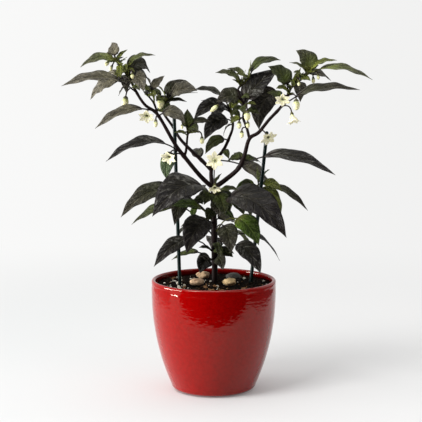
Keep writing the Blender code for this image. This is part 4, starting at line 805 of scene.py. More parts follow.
# ---- stems and leaves
class Path:
    """Smooth curve through a list of points, read by distance from its foot."""

    FINE_STEPS = 12
    TANGENT_STEP = 0.0006

    def __init__(self, points):
        points = [Vector(p) for p in points]
        self.points = []
        for i in range(len(points) - 1):
            before = points[max(i - 1, 0)]
            after = points[min(i + 2, len(points) - 1)]
            for k in range(self.FINE_STEPS):
                t = k / self.FINE_STEPS
                self.points.append(self.spline(before, points[i], points[i + 1], after, t))
        self.points.append(points[-1])
        self.reach = [0.0]
        for a, b in zip(self.points, self.points[1:]):
            self.reach.append(self.reach[-1] + (b - a).length)
        self.length = self.reach[-1]

    @staticmethod
    def spline(p0, p1, p2, p3, t):
        return 0.5 * (2.0 * p1 + (p2 - p0) * t
                      + (2.0 * p0 - 5.0 * p1 + 4.0 * p2 - p3) * t * t
                      + (3.0 * p1 - p0 - 3.0 * p2 + p3) * t ** 3)

    def at(self, distance):
        return Vector([np.interp(distance, self.reach, part) for part in zip(*self.points)])

    def tangent(self, distance):
        ahead = self.at(distance + self.TANGENT_STEP)
        behind = self.at(distance - self.TANGENT_STEP)
        return (ahead - behind).normalized()


PATHS = {name: Path(stem[3]) for name, stem in STEMS.items()}


def rings_along(spots, sides, ribs=0.0, rib_count=5):
    """Rings of points round a list of (centre, axis, radius), carried along without twist."""
    rings = []
    side = None
    for centre, axis, radius in spots:
        axis = axis.normalized()
        if side is None:
            side, _ = frame_along(axis)
        side = (side - axis * side.dot(axis)).normalized()
        up = side.cross(axis)
        ring = []
        for k in range(sides):
            angle = -2.0 * math.pi * k / sides
            wide = radius * (1.0 + ribs * math.cos(rib_count * angle))
            ring.append(centre + wide * (math.cos(angle) * side + math.sin(angle) * up))
        rings.append(ring)
    return rings


def tube(batch, spots, sides, tone, slot=1, **shape):
    """Closed tube along (centre, axis, radius) spots, in one tone or a list of one for each."""
    distance = 0.0
    reach = []
    for i, (centre, _, radius) in enumerate(spots):
        distance += (centre - spots[i - 1][0]).length if i else 0.0
        for k in range(sides):
            reach.append((distance, 2.0 * math.pi * radius * abs(2.0 * k / sides - 1.0), 0.0))
    tones = np.array(tone)[:, None, :] if isinstance(tone, list) else tone
    batch.loft(rings_along(spots, sides, **shape), tones, slot, reach=reach)


def spots_along(foot, axis, profile, length=1.0, radius=1.0):
    """Spots of a tube along an axis, from a profile of shares of its length and radius."""
    return [(foot + axis * length * t, axis, radius * wide) for t, wide in profile]


def stem_body(batch, name, rng):
    """The stem itself, a little knotty where something grows from it, with a rounded tip."""
    _, foot, tip, _ = STEMS[name]
    path = PATHS[name]
    knots = [row[0] * path.length for row in LEAVES[name]]
    lumps, lump_height = BARK_LUMPS
    green_from, greenest = GREEN_TIP if tip < THIN_TIP else (0.0, 0.0)
    spots = []
    tones = []
    steps = max(12, round(path.length / STEM_STEP))
    phase = rng.uniform(0.0, 9.0)
    for i in range(steps + 1):
        distance = path.length * i / steps
        radius = foot + (tip - foot) * i / steps
        swell = sum(math.exp(-((distance - knot) / KNOT_LENGTH) ** 2) for knot in knots)
        uneven = lump_height * noise.noise(Vector((distance * lumps, phase, 0)))
        radius *= 1.0 + KNOT_SWELL * min(swell, 1.0) + uneven
        spots.append((path.at(distance), path.tangent(distance), radius))
        tones.append(blend(BARK_TONE, YOUNG_STALK_TONE, greenest * smoothstep(green_from, 1.0, i / steps)))
    end = path.at(path.length)
    spots += spots_along(end, path.tangent(path.length), ((0.7, 0.75), (1.1, 0.25)), tip, tip)
    tones += [tones[-1]] * 2
    tube(batch, spots, STEM_SIDES, tones, ribs=STEM_RIBS)


def blade_half_width(u, width):
    """Half width of the blade at share u from its foot to its long drawn-out tip."""
    if u <= 0.0:
        return STALK_HALF_WIDTH
    widest = BLADE_FOOT_POWER / (BLADE_FOOT_POWER + BLADE_TIP_POWER)
    peak = widest ** BLADE_FOOT_POWER * (1.0 - widest) ** BLADE_TIP_POWER
    full = 0.5 * width * u ** BLADE_FOOT_POWER * max(1.0 - u, 0.0) ** BLADE_TIP_POWER / peak
    return max(full, STALK_HALF_WIDTH * (1.0 - 0.85 * u))


def midrib(length, rise, droop, stalk):
    """Reach, height and pitch along the midrib, which bends most where the blade begins."""
    straight = STRAIGHT_STALK * stalk
    step = length / MIDRIB_STEPS
    reach, height = 0.0, 0.0
    line = []
    for k in range(MIDRIB_STEPS + 1):
        share = max((k - 0.5) / MIDRIB_STEPS - straight, 0.0) / (1.0 - straight)
        pitch = math.radians(rise - droop * (1.0 - (1.0 - share) ** BEND_POWER))
        if k > 0:
            reach += step * math.cos(pitch)
            height += step * math.sin(pitch)
        line.append((reach, height, pitch))
    return np.array(line)


def vein_depth(u, v):
    """0 on a side vein or the midrib, rising to 1 half way between two veins."""
    shift = VEIN_SHIFT if v > 0 else 0.0
    phase = VEIN_PAIRS * u - abs(v) * (VEIN_SLANT - VEIN_CURVE * abs(v)) + shift
    gap = abs(phase - round(phase)) * 2.0
    return min(smoothstep(0.0, 0.7, gap), smoothstep(0.0, 0.12, abs(v)))


def leaf(batch, root, row, rng):
    """One leaf: a round stalk that widens into a folded, quilted and waved blade."""
    _, heading, rise, droop, length, width, turn, stalk, tint = row
    foot_tone, tip_tone, under_tone, gain, painted_highlight = TINTS[tint]
    stalk_tone = YOUNG_STALK_TONE if tint in YOUNG_TINTS else STALK_TONE
    ahead = direction(heading, 0.0)
    left = Vector((-ahead.y, ahead.x, 0.0))
    roll = math.radians(turn) * (1.0 if ahead.x >= 0.0 else -1.0)
    phase = rng.uniform(0.0, 2.0 * math.pi)
    waves = rng.uniform(*WAVE_COUNTS)
    shade = rng.uniform(*LEAF_SHADES)
    twist = math.radians(rng.uniform(-LEAF_TWIST, LEAF_TWIST))
    grain = rng.uniform(0.0, 50.0)
    dents_along, dents_across, dent_depth = BLADE_DENTS
    columns, blade_steps = next(detail for longer, *detail in LEAF_DETAIL if length > longer)
    shares = [stalk * k / 4 for k in range(4)]
    shares += [stalk + (1.0 - stalk) * k / blade_steps for k in range(blade_steps + 1)]
    across = [math.copysign(abs(t) ** 1.1, t) for t in evenly(-1.0, 1.0, columns)]
    line = midrib(length, rise, droop, stalk)
    rings, tones, blade, reach = [], [], [], []
    for share in shares:
        out, height, pitch = (between(share * MIDRIB_STEPS, range(MIDRIB_STEPS + 1), line[:, c])
                              for c in range(3))
        spot = root + ahead * out + Vector((0.0, 0.0, height))
        along = ahead * math.cos(pitch) + Vector((0.0, 0.0, math.sin(pitch)))
        face = along.cross(left)
        u = (share - stalk) / (1.0 - stalk)
        tilt = roll + twist * max(u, 0.0)
        turned_left = left * math.cos(tilt) + face * math.sin(tilt)
        turned_face = face * math.cos(tilt) - left * math.sin(tilt)
        half = blade_half_width(u, width)
        flat = smoothstep(0.0, 0.25, u)
        purple = smoothstep(0.05, 0.85, u)
        upper, lower = [], []
        for v in across:
            lift = ((FOLD + ARCH) * abs(v) - ARCH * v * v) * (half - STALK_HALF_WIDTH)
            if 0.0 < u < 1.0:
                ripple = math.sin(2.0 * math.pi * waves * u + phase + (WAVE_SHIFT if v > 0 else 0.0))
                lift += WAVE_HEIGHT * width * ripple * v * v * math.sin(math.pi * u)
                dent = noise.noise(Vector((u * dents_along, v * dents_across, grain)))
                lift += dent_depth * width * dent * flat * (1.0 - u)
                lift += QUILT * width * vein_depth(u, v) * flat * math.sqrt(1.0 - u)
            rib = RIB_HEIGHT * math.exp(-(v * half / RIB_WIDTH) ** 2) * (1.0 - u)
            round_stalk = STALK_HALF_HEIGHT * math.sqrt(max(1.0 - v * v, 0.04))
            thin = BLADE_HALF_THICKNESS * (1.0 - 0.55 * v * v)
            thick = round_stalk + (thin - round_stalk) * flat
            point = spot + turned_left * (v * half) + turned_face * lift
            upper.append(point + turned_face * thick)
            lower.append(point - turned_face * (thick + rib * flat))
        rings.append(upper + lower[::-1])
        for under, order in ((0.0, across), (1.0, across[::-1])):
            for v in order:
                tone = blend(foot_tone, tip_tone, min(1.0, purple + 0.35 * v * v * flat))
                if under:
                    tone = [0.7 * a + 0.5 * b for a, b in zip(under_tone, tone)]
                tones.append(blend(stalk_tone, [shade * c for c in tone], flat))
                blade.append((u, v, gain * flat))
                # the brightness of the painted highlights goes in reach to the leaf material
                reach.append((painted_highlight, v * half, under))
    shape = (len(shares), 2 * columns, 3)
    batch.loft(rings, np.array(tones).reshape(shape), 0, blade, reach, turn_over=True)


def flower_stalk(batch, stem, share, end, axis, cup_length, cup_radius, teeth):
    """Thin curved stalk that swells into a toothed calyx."""
    root = PATHS[stem].at(share * PATHS[stem].length)
    neck = end - axis * cup_length
    knee = neck - axis * 0.55 * (neck - root).length
    spots = []
    for t in evenly(0.0, 1.0, 14):
        centre = root * (1 - t) ** 2 + knee * (2 * t * (1 - t)) + neck * t * t
        slope = (knee - root) * (1 - t) + (neck - knee) * t
        spots.append((centre, slope, FLOWER_STALK_RADIUS * (1.0 + 0.3 * t)))
    tones = [STALK_TONE] * len(spots) + [CALYX_TONE] * len(CUP_PROFILE)
    tube(batch, spots + spots_along(neck, axis, CUP_PROFILE, cup_length, cup_radius), 12, tones)
    side, up = frame_along(axis)
    for k in range(teeth):
        angle = 2.0 * math.pi * k / teeth
        calyx_tooth(batch, end, axis, cup_radius, math.cos(angle) * side + math.sin(angle) * up)


def calyx_tooth(batch, end, axis, cup_radius, radial):
    """Small pointed tooth on the rim of the calyx."""
    foot = end + radial * cup_radius * 0.95 - axis * 0.0004
    spots = [(foot, axis + radial * 0.3, 0.00045),
             (foot + axis * 0.0005 + radial * 0.0002, axis, 0.00035),
             (foot + axis * 0.0010 + radial * 0.0003, axis, 0.00010)]
    tube(batch, spots, 6, CALYX_TONE)


def sprouts(batch, name, rng):
    """Tiny folded leaves in the axils near the end of a stem."""
    path = PATHS[name]
    for _ in range(SPROUTS.get(name, 0)):
        share = rng.uniform(*SPROUT_PLACES)
        length = rng.uniform(*SPROUT_LENGTHS)
        row = (share, rng.uniform(-180.0, 180.0), rng.uniform(20.0, 80.0), rng.uniform(-20.0, 60.0),
               length, SPROUT_WIDTH * length, rng.uniform(0.0, 50.0), 0.15,
               rng.choice(("young", "green", "tip")))
        leaf(batch, path.at(share * path.length), row, rng)


def leafy_stem(name, rng, materials):
    """A stem with its leaves, flower stalks, calyxes and tiny shoots."""
    batch = Batch()
    path = PATHS[name]
    stem_body(batch, name, rng)
    for row in LEAVES[name] + EXTRA_LEAVES.get(name, []):
        leaf(batch, path.at(row[0] * path.length), row, rng)
    cups = [(row[1:6], BLOOM_CUP) for row in BLOOMS]
    cups += [(row[:5], (BUD_CUP_LENGTH, BUD_CUP_WIDTH * row[5], BUD_CUP_TEETH)) for row in BUDS]
    for (stem, share, end, heading, rise), cup in cups:
        if stem == name:
            flower_stalk(batch, stem, share, Vector(end), direction(heading, rise), *cup)
    sprouts(batch, name, rng)
    return settle(batch.build(name + "_fine", *materials), "leaf_purple", name)


# ---- flowers and buds
class BloomFrame:
    """Gives directions and points of a flower from its foot and its axis."""

    def __init__(self, foot, axis):
        self.foot = foot
        self.axis = axis
        self.side, self.up = frame_along(axis)

    def radial(self, angle):
        return math.cos(angle) * self.side + math.sin(angle) * self.up

    def point(self, angle, radius, height):
        return self.foot + self.radial(angle) * radius + self.axis * height


def petal(batch, centre, angle, reach, spread, rng):
    """One pointed petal, creased along its middle, that bends back towards its tip."""
    steps, columns = 16, 9
    turn_error, width_error, bend = PETAL_VARIETY
    spread += rng.uniform(-turn_error, turn_error)
    half_width = PETAL_WIDTH * reach * rng.uniform(1.0 - width_error, 1.0 + width_error)
    radial = centre.radial(angle)
    across = centre.axis.cross(radial)
    curl = rng.uniform(*PETAL_CURLS)
    lean = rng.uniform(-bend, bend) * reach
    radius, height = BLOOM_TUBE_RADIUS * 0.9, BLOOM_TUBE_LENGTH - 0.0005
    rings, tones = [], []
    for i in range(steps + 1):
        s = i / steps
        opening = math.radians(spread - curl + 2.0 * curl * s)
        if i:
            radius += reach / steps * math.sin(opening)
            height += reach / steps * math.cos(opening)
        normal = centre.axis * math.sin(opening) - radial * math.cos(opening)
        spot = centre.point(angle, radius, height) + across * lean * s * s
        wide = half_width * between(s, *zip(*PETAL_PROFILE))
        upper, lower, tone = [], [], []
        for v in evenly(-1.0, 1.0, columns):
            cup = (PETAL_FOLD * abs(v) - PETAL_ARCH * v * v) * wide
            thick = PETAL_HALF_THICKNESS * (1.0 - 0.5 * v * v)
            point = spot + across * (v * wide) + normal * cup
            upper.append(point + normal * thick)
            lower.append(point - normal * thick)
            fade = smoothstep(0.0, 0.3, s) * (0.75 + 0.25 * min(1.0, abs(v) * 3.0))
            tone.append(blend(PETAL_FOOT_TONE, PETAL_TONE, fade))
        rings.append(upper + lower[::-1])
        tones.append(tone + tone[::-1])
    batch.loft(rings, np.array(tones))


def anther(batch, centre, angle, rng):
    """Long two-lobed capsule that stands near the flower's middle."""
    lean = centre.axis + centre.radial(angle) * rng.uniform(*ANTHER_LEANS)
    foot = centre.point(angle, *ANTHER_PLACE)
    spots = spots_along(foot, lean, ANTHER_PROFILE, rng.uniform(*ANTHER_LENGTHS), ANTHER_RADIUS)
    tube(batch, spots, 10, ANTHER_TONE, ribs=0.14, rib_count=2)


def bloom(row, rng, materials):
    """Open flower: fused tube, six petals, six anthers and the style."""
    name, _, _, end, heading, rise, size, spread = row
    axis = direction(heading, rise)
    centre = BloomFrame(Vector(end) + axis * GAP, axis)
    batch = Batch()
    tube(batch, spots_along(centre.foot, axis, TUBE_PROFILE), 18, PETAL_FOOT_TONE, slot=0)
    part = 2.0 * math.pi / PETALS
    for k in range(PETALS):
        petal(batch, centre, (k + 0.5) * part, size - BLOOM_TUBE_RADIUS, spread, rng)
    for k in range(PETALS):
        anther(batch, centre, k * part + rng.uniform(-ANTHER_STRAY, ANTHER_STRAY), rng)
    tube(batch, spots_along(centre.foot, axis, STYLE_PROFILE), 8, STYLE_TONE, slot=0)
    return settle(batch.build(name + "_fine", *materials), "petal_cream", name)


def bud(number, row, material):
    """Closed bud: an egg with faint seams where its petals meet, and a blunt point."""
    _, _, end, heading, rise, radius, length = row
    axis = direction(heading, rise)
    shares = evenly(0.0, 1.0, 22)
    profile = [(t, between(t, *zip(*BUD_PROFILE))) for t in shares]
    tones = [blend(BUD_FOOT_TONE, BUD_TONE, smoothstep(0.0, 0.45, t)) for t in shares]
    batch = Batch()
    spots = spots_along(Vector(end) + axis * GAP, axis, profile, length, radius)
    tube(batch, spots, 30, tones, slot=0, ribs=BUD_SEAMS, rib_count=PETALS)
    return settle(batch.build(f"bud_{number}_fine", material), "petal_cream", f"bud_{number}")


# ---- pot
def wall_radius(height):
    """Outside radius of the pot at a height above its rounded foot."""
    depth = max(POT_BELLY_Z - height, 0.0) / POT_BELLY_Z
    return POT_RADIUS * (1.0 - TAPER_DEPTH * depth ** TAPER_POWER)


def pot(material):
    """Glazed pot: rounded foot, curved wall, a fine groove under the rounded lip, and painted shade on the
    glaze inside.
    """
    foot_rings, wall_rings, lip_rings, inside_rings = POT_RINGS
    foot_width = wall_radius(POT_FOOT_ROUND) - POT_FOOT_RADIUS
    lip = 0.5 * POT_WALL
    lip_z = POT_HEIGHT - lip
    lip_middle = wall_radius(lip_z) - lip
    outside = []
    for angle in evenly(0.0, 0.5 * math.pi, foot_rings):
        radius = POT_FOOT_RADIUS + foot_width * math.sin(angle)
        outside.append((radius, POT_FOOT_ROUND * (1.0 - math.cos(angle))))
    for height in evenly(POT_FOOT_ROUND, lip_z, wall_rings)[1:]:
        groove = LIP_GROOVE_DEPTH * math.exp(-((height - LIP_GROOVE_Z) / LIP_GROOVE_WIDTH) ** 2)
        outside.append((wall_radius(height) - groove, height))
    for angle in evenly(0.0, math.pi, lip_rings)[1:]:
        outside.append((lip_middle + lip * math.cos(angle), lip_z + lip * math.sin(angle)))
    heights = evenly(lip_z, POT_FLOOR, inside_rings)[1:]
    inside = [(wall_radius(height) - POT_WALL, height) for height in heights]
    # painted shade: the rings inside the pot get a darker tone
    brightness = [1.0] * len(outside) + [INNER_PAINTED_SHADE] * len(inside)
    batch = Batch()
    rings = [level_ring(radius, height, POT_SEGMENTS) for radius, height in outside + inside]
    batch.loft(rings, np.array([[[level] * 3] for level in brightness]))
    piece = batch.build("pot_fine", material)
    piece.data.set_sharp_from_angle(angle=math.radians(POT_SHARP_EDGE))
    return settle(piece, "glaze_red", "pot")


# ---- soil and what lies on it
def pebble_spots():
    """Middle and half length of each pebble."""
    boxes = [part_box(name) for name in PEBBLES]
    return [(0.5 * (low + high), 0.5 * (high.x - low.x)) for low, high in boxes]


PEBBLE_SPOTS = pebble_spots()


def soil_height(x, y):
    """Height of the soil, mounded round the trunk and level under a pebble."""
    mound = SOIL_MOUND * math.exp(-(x * x + y * y) / SOIL_MOUND_RADIUS ** 2)
    spot = Vector((x, y, 0.0))
    crumbs, crumb_height = SOIL_CRUMBLE
    rough = sum(height * noise.noise(spot * lumps) for lumps, height in SOIL_LUMPS)
    rough += crumb_height * abs(noise.noise(spot * crumbs))
    calm = 1.0
    near, far = PEBBLE_APRON
    for middle, half in PEBBLE_SPOTS:
        away = math.hypot(x - middle.x, y - middle.y)
        calm = min(calm, smoothstep(half * near, half * far, away))
    return SOIL_Z + mound + rough * calm


def inner_radius(height):
    """Radius of what fills the pot."""
    return wall_radius(height) - POT_WALL - GAP


def soil(material):
    """All the soil in the pot, with a rough top."""
    rings = [level_ring(inner_radius(height), height, SOIL_SEGMENTS) for height in SOIL_SIDE_RINGS]
    for k in range(SOIL_RINGS, 0, -1):
        ring = level_ring(inner_radius(SOIL_Z) * k / SOIL_RINGS, 0.0, SOIL_SEGMENTS)
        rings.append([(x, y, soil_height(x, y)) for x, y, _ in ring])
    batch = Batch()
    batch.loft(rings, (0.0, 0.0, 0.0))
    return settle(batch.build("soil_fine", material), "soil", "soil")


def lump(bm, spot, sizes, rng):
    """Irregular grain added to a mesh, turned at random."""
    turn = Matrix.Rotation(rng.uniform(0.0, 6.3), 4, "Z") @ Matrix.Rotation(rng.uniform(-0.7, 0.7), 4, "X")
    made = bmesh.ops.create_icosphere(bm, subdivisions=2, radius=1.0)
    offset = random_point(rng, 99)
    lumps, height = GRAIN_LUMPS
    for vert in made["verts"]:
        wide = 1.0 + height * noise.noise(vert.co * lumps + offset)
        vert.co = turn @ (vert.co * Vector(sizes) * wide) + spot


def open_spot(rng, inner, outer, heading):
    """Random point on the soil, clear of the pebbles, and more often towards a heading."""
    pulled, spread = GRAIN_PULL
    while True:
        angle = rng.uniform(-math.pi, math.pi)
        if heading is not None and rng.random() < pulled:
            angle = math.radians(heading) + rng.gauss(0.0, spread)
        reach = math.sqrt(rng.uniform(inner ** 2, outer ** 2))
        x, y = reach * math.cos(angle), reach * math.sin(angle)
        if all(math.hypot(x - middle.x, y - middle.y) > half + PEBBLE_CLEARANCE
               for middle, half in PEBBLE_SPOTS):
            return x, y


def grains(name, scatter, rng, material, heading=None):
    """A scatter of separate grains that lie half sunk in the soil."""
    count, (smallest, largest), flat = scatter
    bm = bmesh.new()
    edge = wall_radius(SOIL_Z) - POT_WALL - GRAIN_FREE_RIM
    for _ in range(count):
        size = smallest + (largest - smallest) * rng.random() ** GRAIN_SIZE_POWER
        x, y = open_spot(rng, GRAIN_FREE_MIDDLE, edge - size, heading)
        sizes = (size, size * rng.uniform(*flat), size * rng.uniform(*flat))
        lump(bm, Vector((x, y, soil_height(x, y) + GRAIN_SINK * size)), sizes, rng)
    return settle(grown_object(name, bm, material), "soil")


def pebble(name, rng, material):
    """Water-worn pebble that fills the space of its solid."""
    low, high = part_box(name)
    middle = 0.5 * (low + high)
    bm = bmesh.new()
    bmesh.ops.create_icosphere(bm, subdivisions=5, radius=1.0)
    offset = random_point(rng, 9)
    pits, depth = PEBBLE_PITS
    for vert in bm.verts:
        swell = sum(height * noise.noise(vert.co * lumps + offset) for lumps, height in PEBBLE_LUMPS)
        vert.co *= 1.0 + swell + depth * noise.noise(vert.co * pits)
    size = [max(v.co[i] for v in bm.verts) - min(v.co[i] for v in bm.verts) for i in range(3)]
    box = high - low
    for vert in bm.verts:
        vert.co = middle + Vector([vert.co[i] * box[i] / size[i] for i in range(3)])
    slot = "pebble_grey" if name == "pebble_4" else "pebble_tan"
    return settle(grown_object(name + "_fine", bm, material), slot, name)


def stake(name, material):
    """Coated stake with a rounded top and fine rings round it."""
    foot, top = (Vector(p) for p in STAKES[name])
    axis = (top - foot).normalized()
    start = foot - axis * STAKE_DEPTH
    shaft = (top - start).length - STAKE_TIP
    shaft_rings, tip_rings = STAKE_RINGS
    spots = []
    for distance in evenly(0.0, shaft, shaft_rings):
        groove = STAKE_GROOVE_DEPTH * (1.0 - math.sin(distance * STAKE_GROOVES))
        spots.append((start + axis * distance, axis, STAKE_RADIUS * (1.0 - groove)))
    rounding = [(math.sin(a), math.cos(a)) for a in evenly(0.0, 0.48 * math.pi, tip_rings)[1:]]
    spots += spots_along(start + axis * shaft, axis, rounding, STAKE_TIP, STAKE_RADIUS)
    batch = Batch()
    batch.loft(rings_along(spots, sides=24), (0.0, 0.0, 0.0))
    return settle(batch.build(name + "_fine", material), "stake_green", name)


# ---- materials
def leaf_material():
    """Satin blade: blotched tone, paler midrib and side veins, puckered between them, with painted shade
    in the hollows and painted highlights on the tops.
    """
    s = Shader("leaf_blade")
    u, v, gain = s.split(s.attribute("blade"))
    painted_highlight, across, under = s.split(s.attribute("reach"))
    out = s.size_of(v)
    slant = s.times(out, s.minus(VEIN_SLANT, s.times(out, VEIN_CURVE)))
    shift = s.times(s.math("GREATER_THAN", v, 0.0), VEIN_SHIFT)
    wander = s.step(s.noise(140.0, 1.0), 0.2, 0.8, -0.12, 0.12)
    phase = s.plus(s.minus(s.times(u, VEIN_PAIRS), slant), s.plus(shift, wander))
    gap = s.size_of(s.minus(phase, s.math("ROUND", phase)))
    side_vein = s.times(s.step(gap, 0.02, 0.11, 1.0, 0.0), s.step(out, 0.70, 0.98, 1.0, 0.0))
    rib = s.step(s.size_of(across), 0.0003, 0.0010, 1.0, 0.0)
    ridge = s.math("MAXIMUM", rib, s.times(side_vein, 0.75))

    broad = s.noise(70.0, 3.0, 0.6)
    fine = s.noise(620.0, 3.0, 0.65)
    along_veins = s.join(s.times(phase, 1.7), s.times(v, 2.2), s.noise(9.0, 1.0))
    pucker = s.noise(1.0, 3.0, 0.6, along_veins)
    tone = s.tone()
    # broad is random tone; the pucker part is painted shade in the hollows and a painted highlight on the
    # raised tops
    shade = s.times(s.step(broad, 0.3, 0.7, 0.70, 1.25), s.step(pucker, 0.30, 0.70, 0.45, 1.35))
    flecks = s.scaled(tone, (2.0, 1.9, 1.7))
    body = s.mix(s.step(fine, 0.52, 0.66, 0.0, 0.4), s.scaled(tone, shade), flecks)
    # painted highlights: paler colour on the pucker tops, lifted by the tint's last value
    painted_highlight_colour = s.added(s.scaled(tone, (1.7, 1.65, 1.5)), s.join(painted_highlight, painted_highlight, s.times(painted_highlight, 0.92)))
    body = s.mix(s.step(pucker, 0.52, 0.68), body, painted_highlight_colour)
    pale = s.added(s.scaled(tone, (1.6, 1.6, 1.4)), (0.040, 0.036, 0.024))
    s.cover(s.mix(s.times(ridge, gain), body, pale), pucker, roughness=(0.44, 0.28), specular=0.10)
    height = s.times(ridge, s.step(under, 0.0, 1.0, -0.5, 0.8))
    s.bump(s.plus(height, s.plus(s.times(pucker, 2.2), s.times(fine, 0.15))), 0.0016)
    return s.material


def stem_material():
    """Dark stem with paler lengthwise streaks."""
    s = Shader("stem_skin")
    along, around, _ = s.split(s.attribute("reach"))
    streak = s.noise(1.0, 3.0, 0.6, s.join(s.times(along, 90.0), s.times(around, 900.0), 0.0))
    pale_streak = s.scaled(s.tone(), (2.6, 2.4, 2.2))
    colour = s.mix(s.step(streak, 0.52, 0.70), s.tone(), pale_streak)
    s.cover(colour, streak, roughness=(0.34, 0.60), bump=(0.0003, 0.5), specular=0.09)
    return s.material


def petal_material():
    """Cream petal, a little waxy, with faint patches."""
    s = Shader("petal_skin")
    patch = s.noise(500.0, 3.0, 0.6)
    colour = s.scaled(s.tone(), s.step(patch, 0.25, 0.75, 0.92, 1.05))
    s.cover(colour, patch, roughness=(0.45, 0.60), bump=(0.0002, 0.4))
    s.set(Subsurface_Weight=0.25, Subsurface_Radius=(0.003, 0.003, 0.0015))
    return s.material


def anther_material():
    """Dull anther, dusted with paler pollen."""
    s = Shader("anther_skin")
    grain = s.noise(2500.0, 2.0)
    s.set(Base_Color=s.mix(s.step(grain, 0.45, 0.65), s.tone(), POLLEN_TONE))
    s.set(Roughness=s.step(grain, 0.3, 0.7, 0.6, 0.85))
    return s.material


def glaze_material():
    """Deep red glaze: nearly flat, with the slight ripple that breaks up reflections, darkened inside the
    pot by the painted shade in its tone.
    """
    s = Shader("red_glaze")
    flat = s.node("Mapping", {"Vector": s.here(), "Scale": (1.0, 1.0, 3.0)}).outputs["Vector"]
    pool = s.noise(260.0, 3.0, 0.6)
    red = s.mix(s.step(pool, 0.35, 0.7), *GLAZE_TONES)
    # the tone holds the painted shade inside the pot
    s.cover(s.scaled(red, s.tone()), pool, roughness=(0.02, 0.03), specular=0.40)
    s.set(Specular_Tint=GLAZE_SHEEN_TONE)
    s.bump(s.plus(s.noise(110.0, 1.0, 0.5, flat), s.noise(30.0, 1.0, 0.4)), 0.00025)
    return s.material


def soil_material():
    """Dark soil with brown fibres in it."""
    s = Shader("potting_soil")
    clump = s.noise(420.0, 5.0, 0.65)
    damp = s.noise(60.0, 3.0, 0.6)
    dark = s.mix(s.step(damp, 0.35, 0.65), *SOIL_TONES)
    colour = s.mix(s.step(clump, 0.52, 0.70), dark, FIBRE_TONE)
    s.cover(colour, clump, roughness=(0.80, 0.98), bump=(0.0020, 0.9), specular=0.02)
    return s.material


def grain_material(name, tones, scale, specular=0.10):
    """Grain of mineral or bark: two tones, pitted."""
    s = Shader(name)
    pit = s.noise(scale, 4.0, 0.6)
    shade = s.step(s.noise(170.0, 1.0), 0.3, 0.7, 0.75, 1.1)
    colour = s.scaled(s.mix(s.step(pit, 0.35, 0.65), *tones), shade)
    s.cover(colour, pit, roughness=(0.80, 0.90), bump=(0.0006, 0.6), specular=specular)
    return s.material


def pebble_material(name, base, mark):
    """Speckled pebble with a darker stain on one side."""
    s = Shader(name + "_stone")
    speck = s.noise(1600.0, 3.0, 0.65)
    stain = s.noise(110.0, 2.0, 0.55, distortion=0.8)
    light = tuple(min(1.0, 1.35 * c + 0.02) for c in base)
    body = s.mix(s.step(speck, 0.38, 0.62), base, light)
    colour = s.mix(s.step(stain, 0.52, 0.66, 0.0, 0.9), body, mark)
    s.cover(colour, speck, roughness=(0.55, 0.80), bump=(0.0005, 0.7), specular=0.25)
    return s.material


def stake_material():
    """Dark green plastic coat, a little worn."""
    s = Shader("stake_coat")
    wear = s.noise(700.0, 3.0, 0.6)
    colour = s.mix(s.step(wear, 0.35, 0.7), *STAKE_TONES)
    s.cover(colour, wear, roughness=(0.28, 0.45), bump=(0.0002, 0.4), specular=0.16)
    return s.material


# ---- stage
def backdrop_colour(s, x, depth):
    """Even backdrop, a little brighter on the left, by the slant of a point seen from the front."""
    slant = s.math("DIVIDE", x, s.math("MAXIMUM", depth, 0.4))
    return s.mix(s.step(slant, -BACKDROP_SLANT, BACKDROP_SLANT), BACKDROP_LEFT, BACKDROP_RIGHT)


def floor():
    """Wide pale floor that turns into the even backdrop away from the plant."""
    s = Shader("pale_floor")
    x, y, _ = s.split(s.node("NewGeometry").outputs["Position"])
    colour = backdrop_colour(s, x, s.plus(y, -CAMERA_SPOT[1]))
    glow = s.node("Emission", {"Color": colour, "Strength": 1.0})
    part_glow = s.node("Emission", {"Color": colour, "Strength": FLOOR_GLOW})
    even = s.step(x, -0.4, 0.4, *FLOOR_ALBEDO)
    red = s.times(even, s.step(x, -0.3, 0.1, *FLOOR_RED))
    diffuse = s.node("BsdfDiffuse", {"Color": s.scaled(colour, s.join(red, even, even))})
    near = s.node("AddShader", {0: diffuse.outputs[0], 1: part_glow.outputs[0]})
    away = s.math("SQRT", s.plus(s.times(x, x), s.times(y, y)))
    s.show(s.node("MixShader", {0: s.step(away, *FLOOR_BLEND), 1: near.outputs[0], 2: glow.outputs[0]}))
    half = FLOOR_HALF
    mesh = flat_mesh("floor", ((-half, -half), (half, -half), (half, half), (-half, half)), 0.0)
    mesh_object("floor", mesh, s.material)


def card(name, corners, glow, height):
    """Card that only the glaze mirrors, for the parts of the studio beyond the lit table."""
    s = Shader(name)
    s.show(s.node("Emission", {"Color": (1.0, 1.0, 1.0), "Strength": glow}))
    obj = mesh_object(name, flat_mesh(name, corners, height), s.material)
    obj.visible_camera = False
    obj.visible_diffuse = False
    obj.visible_shadow = False
    obj.visible_transmission = False


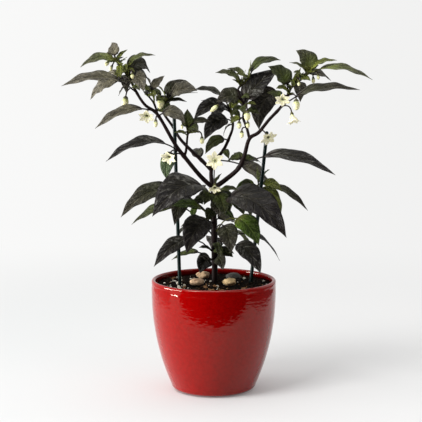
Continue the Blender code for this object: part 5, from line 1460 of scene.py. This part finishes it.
def studio_world():
    """Even backdrop for the camera; for all else a bright top, back and left and a dark front."""
    world = bpy.data.worlds.new("studio")
    world.use_nodes = True
    bpy.context.scene.world = world
    s = Nodes(world.node_tree)
    x, y, z = s.split(s.node("TexCoord").outputs["Generated"])
    front = s.times(s.step(y, *ROOM_FRONT), s.step(x, *ROOM_SIDES))
    level = s.math("MAXIMUM", s.math("MAXIMUM", front, s.step(y, *ROOM_BACK)), s.step(z, *ROOM_TOP))
    seen = s.node("LightPath").outputs["Is Camera Ray"]
    colour = s.mix(seen, s.join(level, level, level), backdrop_colour(s, x, y))
    s.feed(s.tree.nodes["Background"].inputs["Color"], colour)


def lamp(name, spot, target, size, power):
    """Rectangular lamp that faces its target."""
    light = bpy.data.lights.new(name, "AREA")
    light.shape = "RECTANGLE"
    light.size, light.size_y = size
    light.energy = power
    obj = add_object(name, light)
    obj.location = spot
    obj.rotation_euler = (Vector(target) - Vector(spot)).to_track_quat("-Z", "Y").to_euler()


def camera():
    data = bpy.data.cameras.new("camera")
    data.lens = CAMERA_LENS
    data.sensor_width = SENSOR
    obj = add_object("camera", data)
    obj.location = CAMERA_SPOT
    obj.rotation_euler = (math.radians(90.0 - CAMERA_TILT), 0.0, 0.0)
    bpy.context.scene.camera = obj


# ---- the whole picture
def dress():
    """All the pieces, in the order in which they draw from the random numbers."""
    rng = random.Random(SEED)
    leaf_finishes = [leaf_material(), stem_material()]
    petal_finishes = [petal_material(), anther_material()]
    for name in STEMS:
        leafy_stem(name, rng, leaf_finishes)
    for row in BLOOMS:
        bloom(row, rng, petal_finishes)
    for number, row in enumerate(BUDS, 1):
        bud(number, row, petal_finishes[0])
    pot(glaze_material())
    soil(soil_material())
    perlite = grain_material("perlite_grain", PERLITE_TONES, 1500.0, 0.40)
    grains("perlite", PERLITE, rng, perlite, PERLITE_HEADING)
    grains("soil_crumbs", CRUMBS, rng, grain_material("crumb", CRUMB_TONES, 900.0))
    grains("bark_chips", BARK_CHIPS, rng, grain_material("bark", BARK_CHIP_TONES, 700.0), BARK_HEADING)
    for name, colours in PEBBLES.items():
        pebble(name, rng, pebble_material(name, *colours))
    stake_finish = stake_material()
    for name in STAKES:
        stake(name, stake_finish)


def light_studio():
    """The even backdrop, the cards and the lamps."""
    studio_world()
    for name, (corners, glow, height) in CARDS.items():
        card(name, corners, glow, height)
    for name, (spot, target, size, power) in LAMPS.items():
        lamp(name, spot, target, size, power)


dress()
floor()
light_studio()
camera()
bpy.context.scene.view_settings.view_transform = "Standard"
